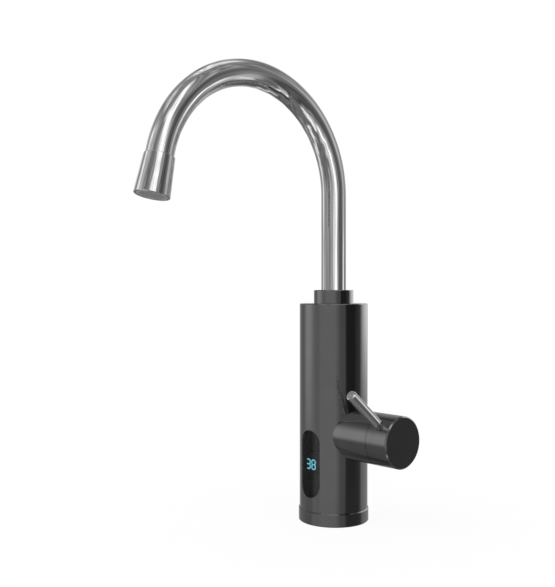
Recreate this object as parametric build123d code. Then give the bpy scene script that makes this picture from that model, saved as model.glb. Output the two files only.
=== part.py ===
from build123d import *
from math import cos, radians, sin, sqrt
import os

# Electric instant water heater tap for a kitchen sink, in millimetres.
# A round body stands on the worktop and holds the valve, the heater and the electronics.
# A swan-neck spout turns on top of it, and a barrel handle with a pin lever turns on its side.
# +Z is up, the spout reaches towards -Y and the handle points along +X.
# The origin is the middle of the seat on the worktop.

# Clearances
SLIP = 0.1  # round a piece that is pushed in and stays
RUN = 0.08  # round a piece that turns
PASS = 0.3  # between pieces that turn past each other
THREAD_PLAY = 0.05  # between a screw thread and its hole

# Body and base ring
BODY_DIAMETER = 55.0
BODY_TOP = 175.0
HOUSING_WALL = 2.0
TOP_WALL = 3.0
EDGE_BEVEL = 0.5
RING_STEP = 0.75
RING_HEIGHT = 10.5
RING_BEVEL = 0.6
RING_RIM = 1.75
RING_FLOOR = 4.5
SPIGOT_RISE = 4.0
SPIGOT_WALL = 2.0
GASKET_THICKNESS = 2.0

# Inlet and the fixing under the worktop
DECK_THICKNESS = 20.0
THREAD_DIAMETER = 20.955
SHANK_REACH = 60.0
SHANK_BORE = 11.0
SHANK_FLANGE_GAP = 1.6
SHANK_FLANGE_HEIGHT = 3.5
INLET_THREAD_LENGTH = 16.0
RELIEF_LENGTH = 2.0
RELIEF_DEPTH = 1.2
WASHER_DIAMETER = 44.0
DECK_WASHER_THICKNESS = 2.0
CLAMP_WASHER_THICKNESS = 1.5
WASHER_SLOT = 10.0
LOCK_NUT_FLATS = 27.0
LOCK_NUT_HEIGHT = 8.0
CORD_HOLE_DIAMETER = 7.0
GROMMET_WALL = 1.1
GROMMET_LIP = 0.5
GROMMET_LIP_HEIGHT = 2.0
GROMMET_DROP = 1.5
BASE_SCREW_DIAMETER = 4.0
BASE_SCREW_HEAD_DIAMETER = 7.0
BASE_SCREW_HEAD_HEIGHT = 1.9
BASE_SCREW_LENGTH = 10.0

# Valve block and flow switch
FOOT_HEIGHT = 6.5
FOOT_GAP = 0.3
COLUMN_WIDTH = 19.0
PISTON_DIAMETER = 12.8
PISTON_LENGTH = 14.0
PISTON_BORE = 4.0
PISTON_TRAVEL = 6.0
CHANNEL_DIAMETER = 6.0
HEAD_BACK = 10.0
HEAD_WALL = 1.4
PLATE_THICKNESS = 5.0
REED_SWITCH_SIZE = (3.0, 4.0, 16.0)

# Ceramic disc cartridge, along the barrel
BARREL_HEIGHT = 71.3
CARTRIDGE_DIAMETER = 25.0
CARTRIDGE_LENGTH = 26.8
POCKET_FLOOR = 4.0
POCKET_DEPTH = 13.0
PORT_SEAL_THICKNESS = 1.2
PORT_DIAMETER = 4.4
PORT_OFFSET = 6.0
DISC_THICKNESS = 3.5
DISC_WALL = 1.5
DISC_SLOT_WIDTH = 3.8
DISC_SLOT_DEPTH = 1.8
CARRIER_THICKNESS = 3.3
DOG_WIDTH = 3.0
DOG_DEPTH = 1.2
DOG_MARGIN = 1.0
STEM_DIAMETER = 12.0
STEM_SQUARE = 7.5
STEM_SEAL_WIDTH = 1.5
STEM_SEAL_THICKNESS = 3.0
SLEEVE_THREAD_WALL = 1.0
SLEEVE_WALL = 2.4
SLEEVE_OVERHANG = 6.0
CARTRIDGE_NUT_FLATS = 26.0
CARTRIDGE_NUT_HEAD = 5.0

# Barrel handle
BARREL_DIAMETER = 40.0
BARREL_WALL = 2.0
STUB_END = 53.0
SEAM = 0.3
CAP_LENGTH = 19.9
CAP_END_WALL = 3.0
CAP_BEVEL = 1.0
BEARING_STEP = 1.0
BEARING_WALL = 1.8
BEARING_DEPTH = 8.0
BEARING_REACH = 4.5
HUB_DIAMETER = 16.0
HUB_LENGTH = 12.2
SOCKET_DEPTH = 5.5
LEVER_DIAMETER = 7.8
LEVER_REACH = 41.0
LEVER_LEAN = 50.0
LEVER_BEVEL = 0.6
LEVER_SEAT_DEPTH = 1.0
LEVER_THREAD_DIAMETER = 5.0
LEVER_THREAD_LENGTH = 13.0
LEVER_TIP_GAP = 0.3
SET_SCREW_DIAMETER = 4.0
SET_SCREW_LENGTH = 4.0
SET_SCREW_HEX = 2.0
SET_SCREW_SETBACK = 2.3

# Heating chamber
FLANGE_MARGIN = 1.0
CHAMBER_SCREW_RING = 6.0
CHAMBER_WALL = 1.7
CHAMBER_FLANGE = 3.0
CHAMBER_TOP_WALL = 4.0
CHAMBER_GASKET_THICKNESS = 1.0
CHAMBER_SCREW_DIAMETER = 3.0
CHAMBER_SCREW_HEAD_DIAMETER = 5.5
CHAMBER_SCREW_HEAD_HEIGHT = 2.2
CHAMBER_SCREW_LENGTH = 7.0
NECK_DIAMETER = 26.0
NECK_BORE = 16.0
NECK_BASE_DIAMETER = 32.0
NECK_BASE_HEIGHT = 8.0
ELEMENT_DIAMETER = 16.0
ELEMENT_BORE = 11.0
ELEMENT_HEADROOM = 12.0
ELEMENT_HEAD = 2.0
TERMINAL_DIAMETER = 2.4
TERMINAL_SPACING = 12.0
TERMINAL_OFFSET = 13.5
TERMINAL_DROP = 9.0
CUTOUT_DIAMETER = 13.0
CUTOUT_THICKNESS = 4.0
CUTOUT_HEIGHT = 127.0
PAD_RISE = 1.5
SENSOR_DIAMETER = 4.0
SENSOR_PROBE = 8.0
SENSOR_HEX = 7.0
SENSOR_HEAD = 3.0
SENSOR_DROP = 10.0
SENSOR_BOSS_DIAMETER = 10.0
SENSOR_BOSS_RISE = 1.0

# Collar and swivel
COLLAR_DIAMETER = 32.0
COLLAR_HEIGHT = 11.0
COLLAR_LIP = 3.0
SLIP_RING_THICKNESS = 0.8
TAIL_FLANGE_THICKNESS = 2.2
TAIL_SPIGOT_LENGTH = 12.0
TAIL_SOCKET_LENGTH = 12.0
TAIL_BORE = 10.0
SEAL_GROOVE_WIDTH = 2.4
SEAL_GROOVE_DEPTH = 1.5
SEAL_SPACING = 4.0
SEAL_MARGIN = 2.0

# Spout
TUBE_DIAMETER = 20.0
TUBE_WALL = 1.0
BEND_HEIGHT = 262.0
BEND_RADIUS = 85.0
BEND_ANGLE = 167.2
BORE_RUNS = 20  # straight runs that stand for the hidden bore in the bend
NOZZLE_LENGTH = 31.5
NOZZLE_TOP_DIAMETER = 22.0
NOZZLE_MOUTH_DIAMETER = 24.6
NOZZLE_BEVEL = 0.4
NOZZLE_SOCKET = 8.0
NOZZLE_LEDGE = 2.0
AERATOR_DIAMETER = 22.0
AERATOR_WALL = 1.2
AERATOR_SETBACK = 0.3
AERATOR_INSERT_THICKNESS = 3.0
AERATOR_WASHER_THICKNESS = 1.5
AERATOR_WASHER_WIDTH = 2.0
AERATOR_LEDGE = 1.0
SCREEN_THICKNESS = 0.6
CELL_FLATS = 2.4
CELL_PITCH = 3.0
CELL_RINGS = 2

# Display window
WINDOW_WIDTH = 20.0
WINDOW_HEIGHT = 53.6
WINDOW_CENTRE = 48.1
LENS_GAP = 0.1
LENS_FLANGE = 1.5
LENS_FLANGE_THICKNESS = 1.2
DIGITS_CENTRE = 46.7
DIGIT_MODULE_WIDTH = 11.0
DIGIT_MODULE_HEIGHT = 14.6
DIGIT_MODULE_DEPTH = 4.4
DIGIT_PAIR_OFFSET = -3.3
DIGIT_WIDTH = 4.7
DIGIT_HEIGHT = 8.2
DIGIT_GAP = 1.0
DIGIT_STROKE = 1.0
DIGIT_RISE = 0.2
BOARD_THICKNESS = 1.6
DISPLAY_BOARD_BOTTOM = 24.0
DISPLAY_BOARD_HEADROOM = 1.0
DISPLAY_BOARD_WIDTH = 18.0
BRACKET_THICKNESS = 4.0
BRACKET_MARGIN = 2.0

# Electronics at the back
CONTROL_BOARD_BOTTOM = 22.0
CONTROL_BOARD_HEADROOM = 3.5
CONTROL_BOARD_GAP = 1.0
POST_DIAMETER = 5.0
POST_SPACING = 20.0
POST_OFFSET = -2.0
TRIAC_SIZE = (10.0, 4.5, 15.0)
TRIAC_BOTTOM = 34.0
TERMINAL_BLOCK_SIZE = (20.0, 7.0, 9.0)
TERMINAL_BLOCK_GAP = 0.55

# Radii and levels that follow from the sizes above
body_r = BODY_DIAMETER / 2
inner_r = body_r - HOUSING_WALL
ring_r = body_r + RING_STEP
recess_r = ring_r - RING_RIM
spigot_r = inner_r - SLIP
spigot_inner_r = spigot_r - SPIGOT_WALL
floor_top = GASKET_THICKNESS + RING_FLOOR
thread_r = THREAD_DIAMETER / 2
grommet_r = CORD_HOLE_DIAMETER / 2 + GROMMET_WALL
grommet_lip_r = grommet_r + GROMMET_LIP
grommet_top = floor_top + GROMMET_LIP_HEIGHT
cord_hole_y = LOCK_NUT_FLATS / 2 + CORD_HOLE_DIAMETER / 2  # the cord passes beside the lock nut
notch_front = cord_hole_y - grommet_lip_r - SLIP
gasket_inner_r = cord_hole_y + grommet_r + SLIP
base_screw_circle = gasket_inner_r - SLIP - BASE_SCREW_HEAD_DIAMETER / 2
shank_flange_r = base_screw_circle - BASE_SCREW_DIAMETER / 2 - SHANK_FLANGE_GAP
shank_top = floor_top + SHANK_FLANGE_HEIGHT
foot_top = floor_top + FOOT_HEIGHT
foot_r = spigot_inner_r - FOOT_GAP
deck_washer_bottom = -DECK_THICKNESS - DECK_WASHER_THICKNESS
clamp_washer_bottom = deck_washer_bottom - CLAMP_WASHER_THICKNESS

piston_r = PISTON_DIAMETER / 2
piston_chamber_top = shank_top + PISTON_LENGTH + PISTON_TRAVEL + PASS

barrel_r = BARREL_DIAMETER / 2
cartridge_r = CARTRIDGE_DIAMETER / 2
disc_r = cartridge_r - DISC_WALL
sleeve_bore_r = cartridge_r + SLIP
sleeve_thread_r = sleeve_bore_r + SLEEVE_THREAD_WALL
pocket_r = sleeve_thread_r + THREAD_PLAY
head_half = pocket_r + HEAD_WALL
head_face = POCKET_FLOOR + POCKET_DEPTH
head_top = BARREL_HEIGHT + head_half
cartridge_start = POCKET_FLOOR + PORT_SEAL_THICKNESS
disc_face = cartridge_start + DISC_THICKNESS
carrier_start = disc_face + DISC_THICKNESS
carrier_end = carrier_start + CARRIER_THICKNESS
cartridge_end = cartridge_start + CARTRIDGE_LENGTH
sleeve_end = cartridge_end + SLEEVE_OVERHANG
barrel_bore_r = barrel_r - BARREL_WALL
bearing_start = STUB_END - BEARING_DEPTH
cap_start = STUB_END + SEAM
cap_end = cap_start + CAP_LENGTH
cap_inside = cap_end - CAP_END_WALL
hub_start = cap_inside - HUB_LENGTH
hub_r = HUB_DIAMETER / 2
stem_end = hub_start + SOCKET_DEPTH - SLIP
lever_at = (cap_start + cap_end) / 2
set_screw_at = hub_start + SET_SCREW_SETBACK
lever_seat = barrel_r - LEVER_SEAT_DEPTH
lever_foot = lever_seat - LEVER_THREAD_LENGTH

plate_top = head_top + PLATE_THICKNESS
flange_r = inner_r - FLANGE_MARGIN
chamber_bottom = plate_top + CHAMBER_GASKET_THICKNESS
chamber_r = flange_r - CHAMBER_SCREW_RING
chamber_bore_r = chamber_r - CHAMBER_WALL
shoulder = BODY_TOP - TOP_WALL
chamber_roof = shoulder - NECK_BASE_HEIGHT
chamber_ceiling = chamber_roof - CHAMBER_TOP_WALL
neck_r = NECK_DIAMETER / 2
neck_bore_r = NECK_BORE / 2
chamber_screw_circle = flange_r - CHAMBER_SCREW_RING / 2
element_top = chamber_ceiling - ELEMENT_HEADROOM
sensor_height = chamber_ceiling - SENSOR_DROP
pad_face = chamber_r + PAD_RISE

collar_r = COLLAR_DIAMETER / 2
collar_top = BODY_TOP + COLLAR_HEIGHT
lip_bottom = collar_top - COLLAR_LIP
tube_bottom = lip_bottom - SLIP_RING_THICKNESS
neck_top = tube_bottom - TAIL_FLANGE_THICKNESS
tube_r = TUBE_DIAMETER / 2
bore_r = tube_r - TUBE_WALL
tail_r = neck_bore_r - RUN
tail_flange_r = neck_r - SLIP

aerator_r = AERATOR_DIAMETER / 2
aerator_seat = NOZZLE_SOCKET + NOZZLE_LEDGE
aerator_start = aerator_seat + AERATOR_WASHER_THICKNESS
aerator_face = NOZZLE_LENGTH - AERATOR_SETBACK
insert_start = aerator_face - AERATOR_INSERT_THICKNESS
insert_r = aerator_r - THREAD_PLAY - AERATOR_WALL
ledge_start = insert_start - AERATOR_LEDGE

lens_back_r = inner_r - LENS_FLANGE_THICKNESS
module_front = sqrt(lens_back_r**2 - (DIGIT_MODULE_WIDTH / 2 + abs(DIGIT_PAIR_OFFSET)) ** 2) - PASS - DIGIT_RISE
display_board_front = module_front - DIGIT_MODULE_DEPTH
display_board_top = BARREL_HEIGHT - head_half - DISPLAY_BOARD_HEADROOM
control_board_top = head_top - CONTROL_BOARD_HEADROOM
control_board_front = COLUMN_WIDTH / 2 + TERMINAL_BLOCK_GAP + TERMINAL_BLOCK_SIZE[1]
control_board_back = control_board_front + BOARD_THICKNESS
control_board_half = sqrt((inner_r - CONTROL_BOARD_GAP) ** 2 - control_board_back**2)

# The barrel's frame: local x is world Y, local y is world Z and local z runs out along world X
barrel = Plane(origin=(0, 0, BARREL_HEIGHT), x_dir=(0, 1, 0), z_dir=(1, 0, 0))

# The handle's frame: as the barrel's, turned so that local x runs along the lever
lean = radians(LEVER_LEAN)
handle = Plane(origin=(0, 0, BARREL_HEIGHT), x_dir=(0, -sin(lean), cos(lean)), z_dir=(1, 0, 0))

# The temperature sensor's frame: it points out of the chamber's left side
sensor_frame = Plane(origin=(0, 0, sensor_height), x_dir=(0, 1, 0), z_dir=(-1, 0, 0))


def turned(*corners):
    """A solid turned about Z from its (radius, height) corners."""
    return revolve(Plane.XZ * Polygon(*corners, align=None), Axis.Z)


def rod(radius, bottom, top):
    """A round bar about Z."""
    return Pos(0, 0, bottom) * extrude(Circle(radius), top - bottom)


def ring(outer, inner, bottom, top):
    """A plain ring about Z."""
    return Pos(0, 0, bottom) * extrude(Circle(outer) - Circle(inner), top - bottom)


def hexagon(flats, bottom, top):
    """A hexagonal bar about Z."""
    return Pos(0, 0, bottom) * extrude(RegularPolygon(flats / sqrt(3), 6), top - bottom)


def block(low, high):
    """A box between two corners."""
    size = [b - a for a, b in zip(low, high)]
    return Pos(*low) * Box(*size, align=(Align.MIN, Align.MIN, Align.MIN))


def around(count, radius, start=0):
    """Places evenly spaced on a circle about Z."""
    return [Rot(0, 0, start + 360 * i / count) * Pos(radius, 0, 0) for i in range(count)]


def bend_station(angle):
    """The tube's cross-section plane at an angle round the bend."""
    a = radians(angle)
    middle = (0, BEND_RADIUS * (cos(a) - 1), BEND_HEIGHT + BEND_RADIUS * sin(a))
    return Plane(origin=middle, x_dir=(1, 0, 0), z_dir=(0, -sin(a), cos(a)))


# The nozzle's frame starts at the end of the bend and runs along the outflow
outflow = bend_station(BEND_ANGLE)

base_screw_places = around(3, base_screw_circle, -90)
chamber_screw_places = around(4, chamber_screw_circle, 45)


def make_base_ring():
    """Turned ring with a gasket recess below and a spigot that centres the housing."""
    body = turned(
        (thread_r + SLIP, GASKET_THICKNESS),
        (recess_r, GASKET_THICKNESS),
        (recess_r, 0),
        (ring_r - RING_BEVEL, 0),
        (ring_r, RING_BEVEL),
        (ring_r, RING_HEIGHT - RING_BEVEL),
        (ring_r - RING_BEVEL, RING_HEIGHT),
        (spigot_r, RING_HEIGHT),
        (spigot_r, RING_HEIGHT + SPIGOT_RISE),
        (spigot_inner_r, RING_HEIGHT + SPIGOT_RISE),
        (spigot_inner_r, floor_top),
        (thread_r + SLIP, floor_top),
    )
    for place in base_screw_places:
        body -= place * rod(BASE_SCREW_DIAMETER / 2 + SLIP, 0, floor_top)
    body -= Pos(0, cord_hole_y) * rod(grommet_r, 0, floor_top)
    return body - Pos(0, cord_hole_y) * rod(grommet_lip_r + SLIP, floor_top, grommet_top)


def make_base_gasket():
    """Flat rubber ring that fills the recess down to the seat, outside the screws and the cord."""
    return ring(recess_r - SLIP, gasket_inner_r, 0, GASKET_THICKNESS)


def make_base_screws():
    """Cheese-head screws that hold the base ring and the shank to the valve block."""
    head = rod(BASE_SCREW_HEAD_DIAMETER / 2, GASKET_THICKNESS - BASE_SCREW_HEAD_HEIGHT, GASKET_THICKNESS)
    screw = head + rod(BASE_SCREW_DIAMETER / 2, GASKET_THICKNESS, GASKET_THICKNESS + BASE_SCREW_LENGTH)
    return [place * screw for place in base_screw_places]


def make_cord_grommet():
    """Rubber bush in the floor, the inlet of the mains cord."""
    bush = rod(grommet_r, GASKET_THICKNESS - GROMMET_DROP, floor_top)
    bush += rod(grommet_lip_r, floor_top, grommet_top)
    return Pos(0, cord_hole_y) * (bush - rod(CORD_HOLE_DIAMETER / 2, 0, grommet_top))


def make_inlet_shank():
    """Brass inlet pipe, with a flange whose flat keeps it from turning in the valve block."""
    relief_r = thread_r - RELIEF_DEPTH
    free_end = INLET_THREAD_LENGTH - SHANK_REACH
    bore = SHANK_BORE / 2
    body = turned(
        (bore, -SHANK_REACH),
        (thread_r, -SHANK_REACH),
        (thread_r, free_end),
        (relief_r, free_end),
        (relief_r, free_end + RELIEF_LENGTH),
        (thread_r, free_end + RELIEF_LENGTH),
        (thread_r, floor_top),
        (shank_flange_r, floor_top),
        (shank_flange_r, shank_top),
        (bore, shank_top),
    )
    far = 2 * shank_flange_r
    return body - block((-far, notch_front, floor_top), (far, far, shank_top))


def make_horseshoe(bottom, thickness):
    """Washer under the worktop, slotted for the cord."""
    outline = Circle(WASHER_DIAMETER / 2) - Circle(thread_r + PASS)
    slot_length = WASHER_DIAMETER
    outline -= Pos(0, slot_length / 2) * Rectangle(WASHER_SLOT, slot_length)
    return Pos(0, 0, bottom) * extrude(outline, thickness)


def make_lock_nut():
    """Hexagon nut that draws the clamp washer up against the worktop."""
    bottom = clamp_washer_bottom - LOCK_NUT_HEIGHT
    nut = hexagon(LOCK_NUT_FLATS, bottom, clamp_washer_bottom)
    return nut - rod(thread_r + THREAD_PLAY, bottom, clamp_washer_bottom)


def make_valve_block():
    """Brass block: a foot, a column with the flow switch, a head with the cartridge pocket, a plate."""
    half = COLUMN_WIDTH / 2
    bottom_of_head = BARREL_HEIGHT - head_half
    port_low = BARREL_HEIGHT - PORT_OFFSET
    port_high = BARREL_HEIGHT + PORT_OFFSET
    body = rod(foot_r, floor_top, foot_top)
    body += block((-half, -half, foot_top), (half, half, bottom_of_head))
    body += block((-HEAD_BACK, -head_half, bottom_of_head), (head_face, head_half, head_top))
    body += rod(flange_r, head_top, plate_top)

    # Seat of the shank's flange, and the notch that the cord comes up through
    seat = rod(shank_flange_r + SLIP, floor_top, shank_top)
    notch_half = grommet_lip_r + SLIP
    seat -= block((-foot_r, notch_front, floor_top), (foot_r, foot_r, shank_top))
    body -= seat
    body -= block((-notch_half, notch_front, floor_top), (notch_half, foot_r, foot_top))
    for place in base_screw_places:
        body -= place * rod(BASE_SCREW_DIAMETER / 2 + THREAD_PLAY, floor_top, foot_top)

    # Water way: up past the piston, out to the cartridge, back and up to the chamber
    channel = CHANNEL_DIAMETER / 2
    body -= rod(piston_r + PASS, shank_top, piston_chamber_top)
    body -= rod(channel, piston_chamber_top, port_low)
    body -= rod(channel, port_high, plate_top)
    for side in (-1, 1):
        body -= barrel * Pos(0, side * PORT_OFFSET) * rod(PORT_DIAMETER / 2, 0, POCKET_FLOOR)
    body -= barrel * rod(pocket_r, POCKET_FLOOR, head_face)

    # Tapped holes for the chamber's screws, and the holes for the element's terminals
    for place in chamber_screw_places:
        body -= place * rod(CHAMBER_SCREW_DIAMETER / 2 + THREAD_PLAY, head_top, plate_top)
    for side in (-1, 1):
        place = Pos(-TERMINAL_OFFSET, side * TERMINAL_SPACING / 2)
        body -= place * rod(TERMINAL_DIAMETER / 2 + SLIP, head_top, plate_top)
    return body


def make_flow_piston():
    """Magnet that the flow lifts off the shank's end."""
    return ring(piston_r, PISTON_BORE / 2, shank_top, shank_top + PISTON_LENGTH)


def make_reed_switch():
    """Glass reed in its holder, on the column beside the lifted magnet."""
    thick, wide, tall = REED_SWITCH_SIZE
    bottom = shank_top + PISTON_TRAVEL
    back = -COLUMN_WIDTH / 2
    return block((back - thick, -wide / 2, bottom), (back, wide / 2, bottom + tall))


def make_cartridge_sleeve():
    """Brass sleeve screwed into the valve block from the side, through the housing."""
    sleeve = rod(sleeve_thread_r, cartridge_start, head_face)
    sleeve += rod(sleeve_bore_r + SLEEVE_WALL, head_face, sleeve_end)
    return barrel * (sleeve - rod(sleeve_bore_r, cartridge_start, sleeve_end))


def port_holes(bottom, top):
    """The two water ports of the cartridge, one above the other."""
    return [Pos(0, side * PORT_OFFSET) * rod(PORT_DIAMETER / 2, bottom, top) for side in (-1, 1)]


def make_port_seal():
    """Rubber seal between the valve block and the fixed disc."""
    seal = rod(cartridge_r - SLIP, POCKET_FLOOR, cartridge_start)
    return barrel * (seal - port_holes(POCKET_FLOOR, cartridge_start))


def make_fixed_disc():
    """Ceramic disc with the two ports."""
    disc = rod(disc_r - SLIP, cartridge_start, disc_face)
    return barrel * (disc - port_holes(cartridge_start, disc_face))


def make_moving_disc():
    """Ceramic disc whose crossed slots join the ports when the handle is turned either way."""
    length = 2 * PORT_OFFSET + PORT_DIAMETER
    slot = Pos(0, 0, disc_face) * extrude(Rectangle(DISC_SLOT_WIDTH, length), DISC_SLOT_DEPTH)
    dog = extrude(Rectangle(DOG_WIDTH + 2 * SLIP, 2 * disc_r), DOG_DEPTH)
    dog = Pos(0, 0, carrier_start - DOG_DEPTH) * dog
    disc = rod(disc_r - RUN, disc_face, carrier_start)
    return barrel * (disc - Rot(0, 0, 45) * slot - Rot(0, 0, -45) * slot - dog)


def make_cartridge_body():
    """Cup that holds the discs, with a bearing and a seal seat for the stem."""
    stem_r = STEM_DIAMETER / 2
    seat = cartridge_end - STEM_SEAL_THICKNESS
    cup = rod(cartridge_r, cartridge_start, cartridge_end)
    cup -= rod(disc_r, cartridge_start, carrier_end)
    cup -= rod(stem_r + RUN, carrier_end, seat)
    return barrel * (cup - rod(stem_r + STEM_SEAL_WIDTH, seat, cartridge_end))


def make_cartridge_stem():
    """Brass stem: a carrier with a dog for the moving disc, a round shaft and a square end."""
    dog = extrude(Rectangle(DOG_WIDTH, 2 * (disc_r - DOG_MARGIN)), DOG_DEPTH)
    dog = Pos(0, 0, carrier_start - DOG_DEPTH) * dog
    stem = rod(disc_r - RUN, carrier_start, carrier_end)
    stem += rod(STEM_DIAMETER / 2, carrier_end, cartridge_end)
    square = extrude(Rectangle(STEM_SQUARE, STEM_SQUARE), stem_end - cartridge_end)
    square = Pos(0, 0, cartridge_end) * square
    return barrel * (stem + dog) + handle * square


def make_stem_seal():
    """Rubber ring round the stem, in the cartridge's mouth."""
    stem_r = STEM_DIAMETER / 2
    seat = cartridge_end - STEM_SEAL_THICKNESS
    return barrel * ring(stem_r + STEM_SEAL_WIDTH - SLIP, stem_r + RUN, seat, cartridge_end)


def make_cartridge_nut():
    """Brass nut that presses the cartridge into its pocket."""
    nut = rod(cartridge_r, cartridge_end, sleeve_end)
    nut += hexagon(CARTRIDGE_NUT_FLATS, sleeve_end, sleeve_end + CARTRIDGE_NUT_HEAD)
    hole = rod(STEM_DIAMETER / 2 + PASS, cartridge_end, sleeve_end + CARTRIDGE_NUT_HEAD)
    return barrel * (nut - hole)


def make_bearing_ring():
    """Plastic ring in the mouth of the housing's barrel, which the handle cap turns on."""
    outer = barrel_bore_r - RUN
    return barrel * ring(outer, outer - BEARING_WALL, bearing_start, cap_start + BEARING_REACH)


def make_handle_cap():
    """Outer half of the barrel: a cup whose hub takes the square stem, the lever and the set screw."""
    cap = turned(
        (0, cap_inside),
        (0, cap_end),
        (barrel_r - CAP_BEVEL, cap_end),
        (barrel_r, cap_end - CAP_BEVEL),
        (barrel_r, cap_start),
        (barrel_bore_r, cap_start),
        (barrel_bore_r, cap_inside),
    )
    cap += rod(hub_r, hub_start, cap_inside)
    socket = STEM_SQUARE + 2 * SLIP
    cap -= Pos(0, 0, hub_start) * extrude(Rectangle(socket, socket), SOCKET_DEPTH)
    inward = Plane(origin=(0, 0, lever_at), x_dir=(0, 0, 1), z_dir=(1, 0, 0))
    cap -= inward * rod(LEVER_DIAMETER / 2 + THREAD_PLAY, lever_seat, barrel_r)
    cap -= inward * rod(LEVER_THREAD_DIAMETER / 2 + THREAD_PLAY, lever_foot - LEVER_TIP_GAP, barrel_r)
    outward = Plane(origin=(0, 0, set_screw_at), x_dir=(0, 0, 1), z_dir=(-1, 0, 0))
    cap -= outward * rod(SET_SCREW_DIAMETER / 2 + THREAD_PLAY, 0, barrel_r)
    return handle * cap


def make_lever():
    """Chrome pin with a bevelled end, screwed into the hub."""
    tip = barrel_r + LEVER_REACH
    lever_r = LEVER_DIAMETER / 2
    pin = turned(
        (0, lever_foot),
        (LEVER_THREAD_DIAMETER / 2, lever_foot),
        (LEVER_THREAD_DIAMETER / 2, lever_seat),
        (lever_r, lever_seat),
        (lever_r, tip - LEVER_BEVEL),
        (lever_r - LEVER_BEVEL, tip),
        (0, tip),
    )
    return handle * Plane(origin=(0, 0, lever_at), x_dir=(0, 0, 1), z_dir=(1, 0, 0)) * pin


def make_set_screw():
    """Grub screw opposite the lever, tightened on a flat of the stem."""
    tip = STEM_SQUARE / 2
    screw = rod(SET_SCREW_DIAMETER / 2, tip, tip + SET_SCREW_LENGTH)
    screw -= hexagon(SET_SCREW_HEX, tip + SET_SCREW_LENGTH / 2, tip + SET_SCREW_LENGTH)
    return handle * Plane(origin=(0, 0, set_screw_at), x_dir=(0, 0, 1), z_dir=(-1, 0, 0)) * screw


def make_heating_chamber():
    """Brass bell over the element, with the threaded neck that the spout turns in."""
    body = turned(
        (chamber_bore_r, chamber_bottom),
        (flange_r, chamber_bottom),
        (flange_r, chamber_bottom + CHAMBER_FLANGE),
        (chamber_r, chamber_bottom + CHAMBER_FLANGE),
        (chamber_r, chamber_roof),
        (NECK_BASE_DIAMETER / 2, chamber_roof),
        (NECK_BASE_DIAMETER / 2, shoulder),
        (neck_r, shoulder),
        (neck_r, neck_top),
        (neck_bore_r, neck_top),
        (neck_bore_r, chamber_ceiling),
        (chamber_bore_r, chamber_ceiling),
    )
    inside = rod(chamber_bore_r, chamber_bottom, chamber_ceiling)
    pad_half = CUTOUT_DIAMETER / 2
    pad = block((-pad_half, 0, CUTOUT_HEIGHT - pad_half), (pad_half, pad_face, CUTOUT_HEIGHT + pad_half))
    boss = sensor_frame * rod(SENSOR_BOSS_DIAMETER / 2, 0, chamber_r + SENSOR_BOSS_RISE)
    body += (pad + boss) - inside
    body -= sensor_frame * rod(SENSOR_DIAMETER / 2 + THREAD_PLAY, 0, chamber_r + SENSOR_BOSS_RISE)
    flange_top = chamber_bottom + CHAMBER_FLANGE
    for place in chamber_screw_places:
        body -= place * rod(CHAMBER_SCREW_DIAMETER / 2 + SLIP, chamber_bottom, flange_top)
    return body


def make_chamber_gasket():
    """Flat gasket between the chamber's flange and the valve block's plate."""
    gasket = ring(flange_r, chamber_bore_r, plate_top, chamber_bottom)
    for place in chamber_screw_places:
        gasket -= place * rod(CHAMBER_SCREW_DIAMETER / 2 + SLIP, plate_top, chamber_bottom)
    return gasket


def make_chamber_screws():
    """Screws through the chamber's flange into the plate."""
    seat = chamber_bottom + CHAMBER_FLANGE
    screw = rod(CHAMBER_SCREW_HEAD_DIAMETER / 2, seat, seat + CHAMBER_SCREW_HEAD_HEIGHT)
    screw += rod(CHAMBER_SCREW_DIAMETER / 2, seat - CHAMBER_SCREW_LENGTH, seat)
    return [place * screw for place in chamber_screw_places]


def make_heating_element():
    """Ceramic tube heater on a round head, with two terminals through the plate."""
    element = rod(chamber_bore_r - SLIP, plate_top, plate_top + ELEMENT_HEAD)
    element += rod(ELEMENT_DIAMETER / 2, plate_top + ELEMENT_HEAD, element_top)
    element -= rod(ELEMENT_BORE / 2, plate_top, element_top)
    for side in (-1, 1):
        place = Pos(-TERMINAL_OFFSET, side * TERMINAL_SPACING / 2)
        element += place * rod(TERMINAL_DIAMETER / 2, plate_top - TERMINAL_DROP, plate_top)
    return element


def make_thermal_cutout():
    """Disc thermostat on the chamber's flat pad."""
    frame = Plane(origin=(0, 0, CUTOUT_HEIGHT), x_dir=(1, 0, 0), z_dir=(0, 1, 0))
    return frame * rod(CUTOUT_DIAMETER / 2, pad_face, pad_face + CUTOUT_THICKNESS)


def make_temperature_sensor():
    """Probe screwed through the chamber's wall."""
    seat = chamber_r + SENSOR_BOSS_RISE
    probe = rod(SENSOR_DIAMETER / 2, seat - SENSOR_PROBE, seat)
    return sensor_frame * (probe + hexagon(SENSOR_HEX, seat, seat + SENSOR_HEAD))


def stadium(width, height):
    """Upright full-round slot through the front wall, centred on the window."""
    outline = SlotOverall(height, width, rotation=90)
    front = Plane(origin=(0, 0, WINDOW_CENTRE), x_dir=(1, 0, 0), z_dir=(0, -1, 0))
    return front * extrude(outline, BODY_DIAMETER)


def make_housing():
    """Body shell: a tube closed at the top, with the fixed half of the barrel and the display window."""
    outer = turned(
        (0, RING_HEIGHT),
        (body_r, RING_HEIGHT),
        (body_r, BODY_TOP - EDGE_BEVEL),
        (body_r - EDGE_BEVEL, BODY_TOP),
        (0, BODY_TOP),
    )
    outer += barrel * rod(barrel_r, 0, STUB_END)
    outer -= rod(inner_r, RING_HEIGHT, shoulder)
    outer -= rod(neck_r + SLIP, shoulder, BODY_TOP)
    outer -= barrel * rod(barrel_bore_r - BEARING_STEP, 0, bearing_start)
    outer -= barrel * rod(barrel_bore_r, bearing_start, STUB_END)
    return outer - stadium(WINDOW_WIDTH, WINDOW_HEIGHT)


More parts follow.
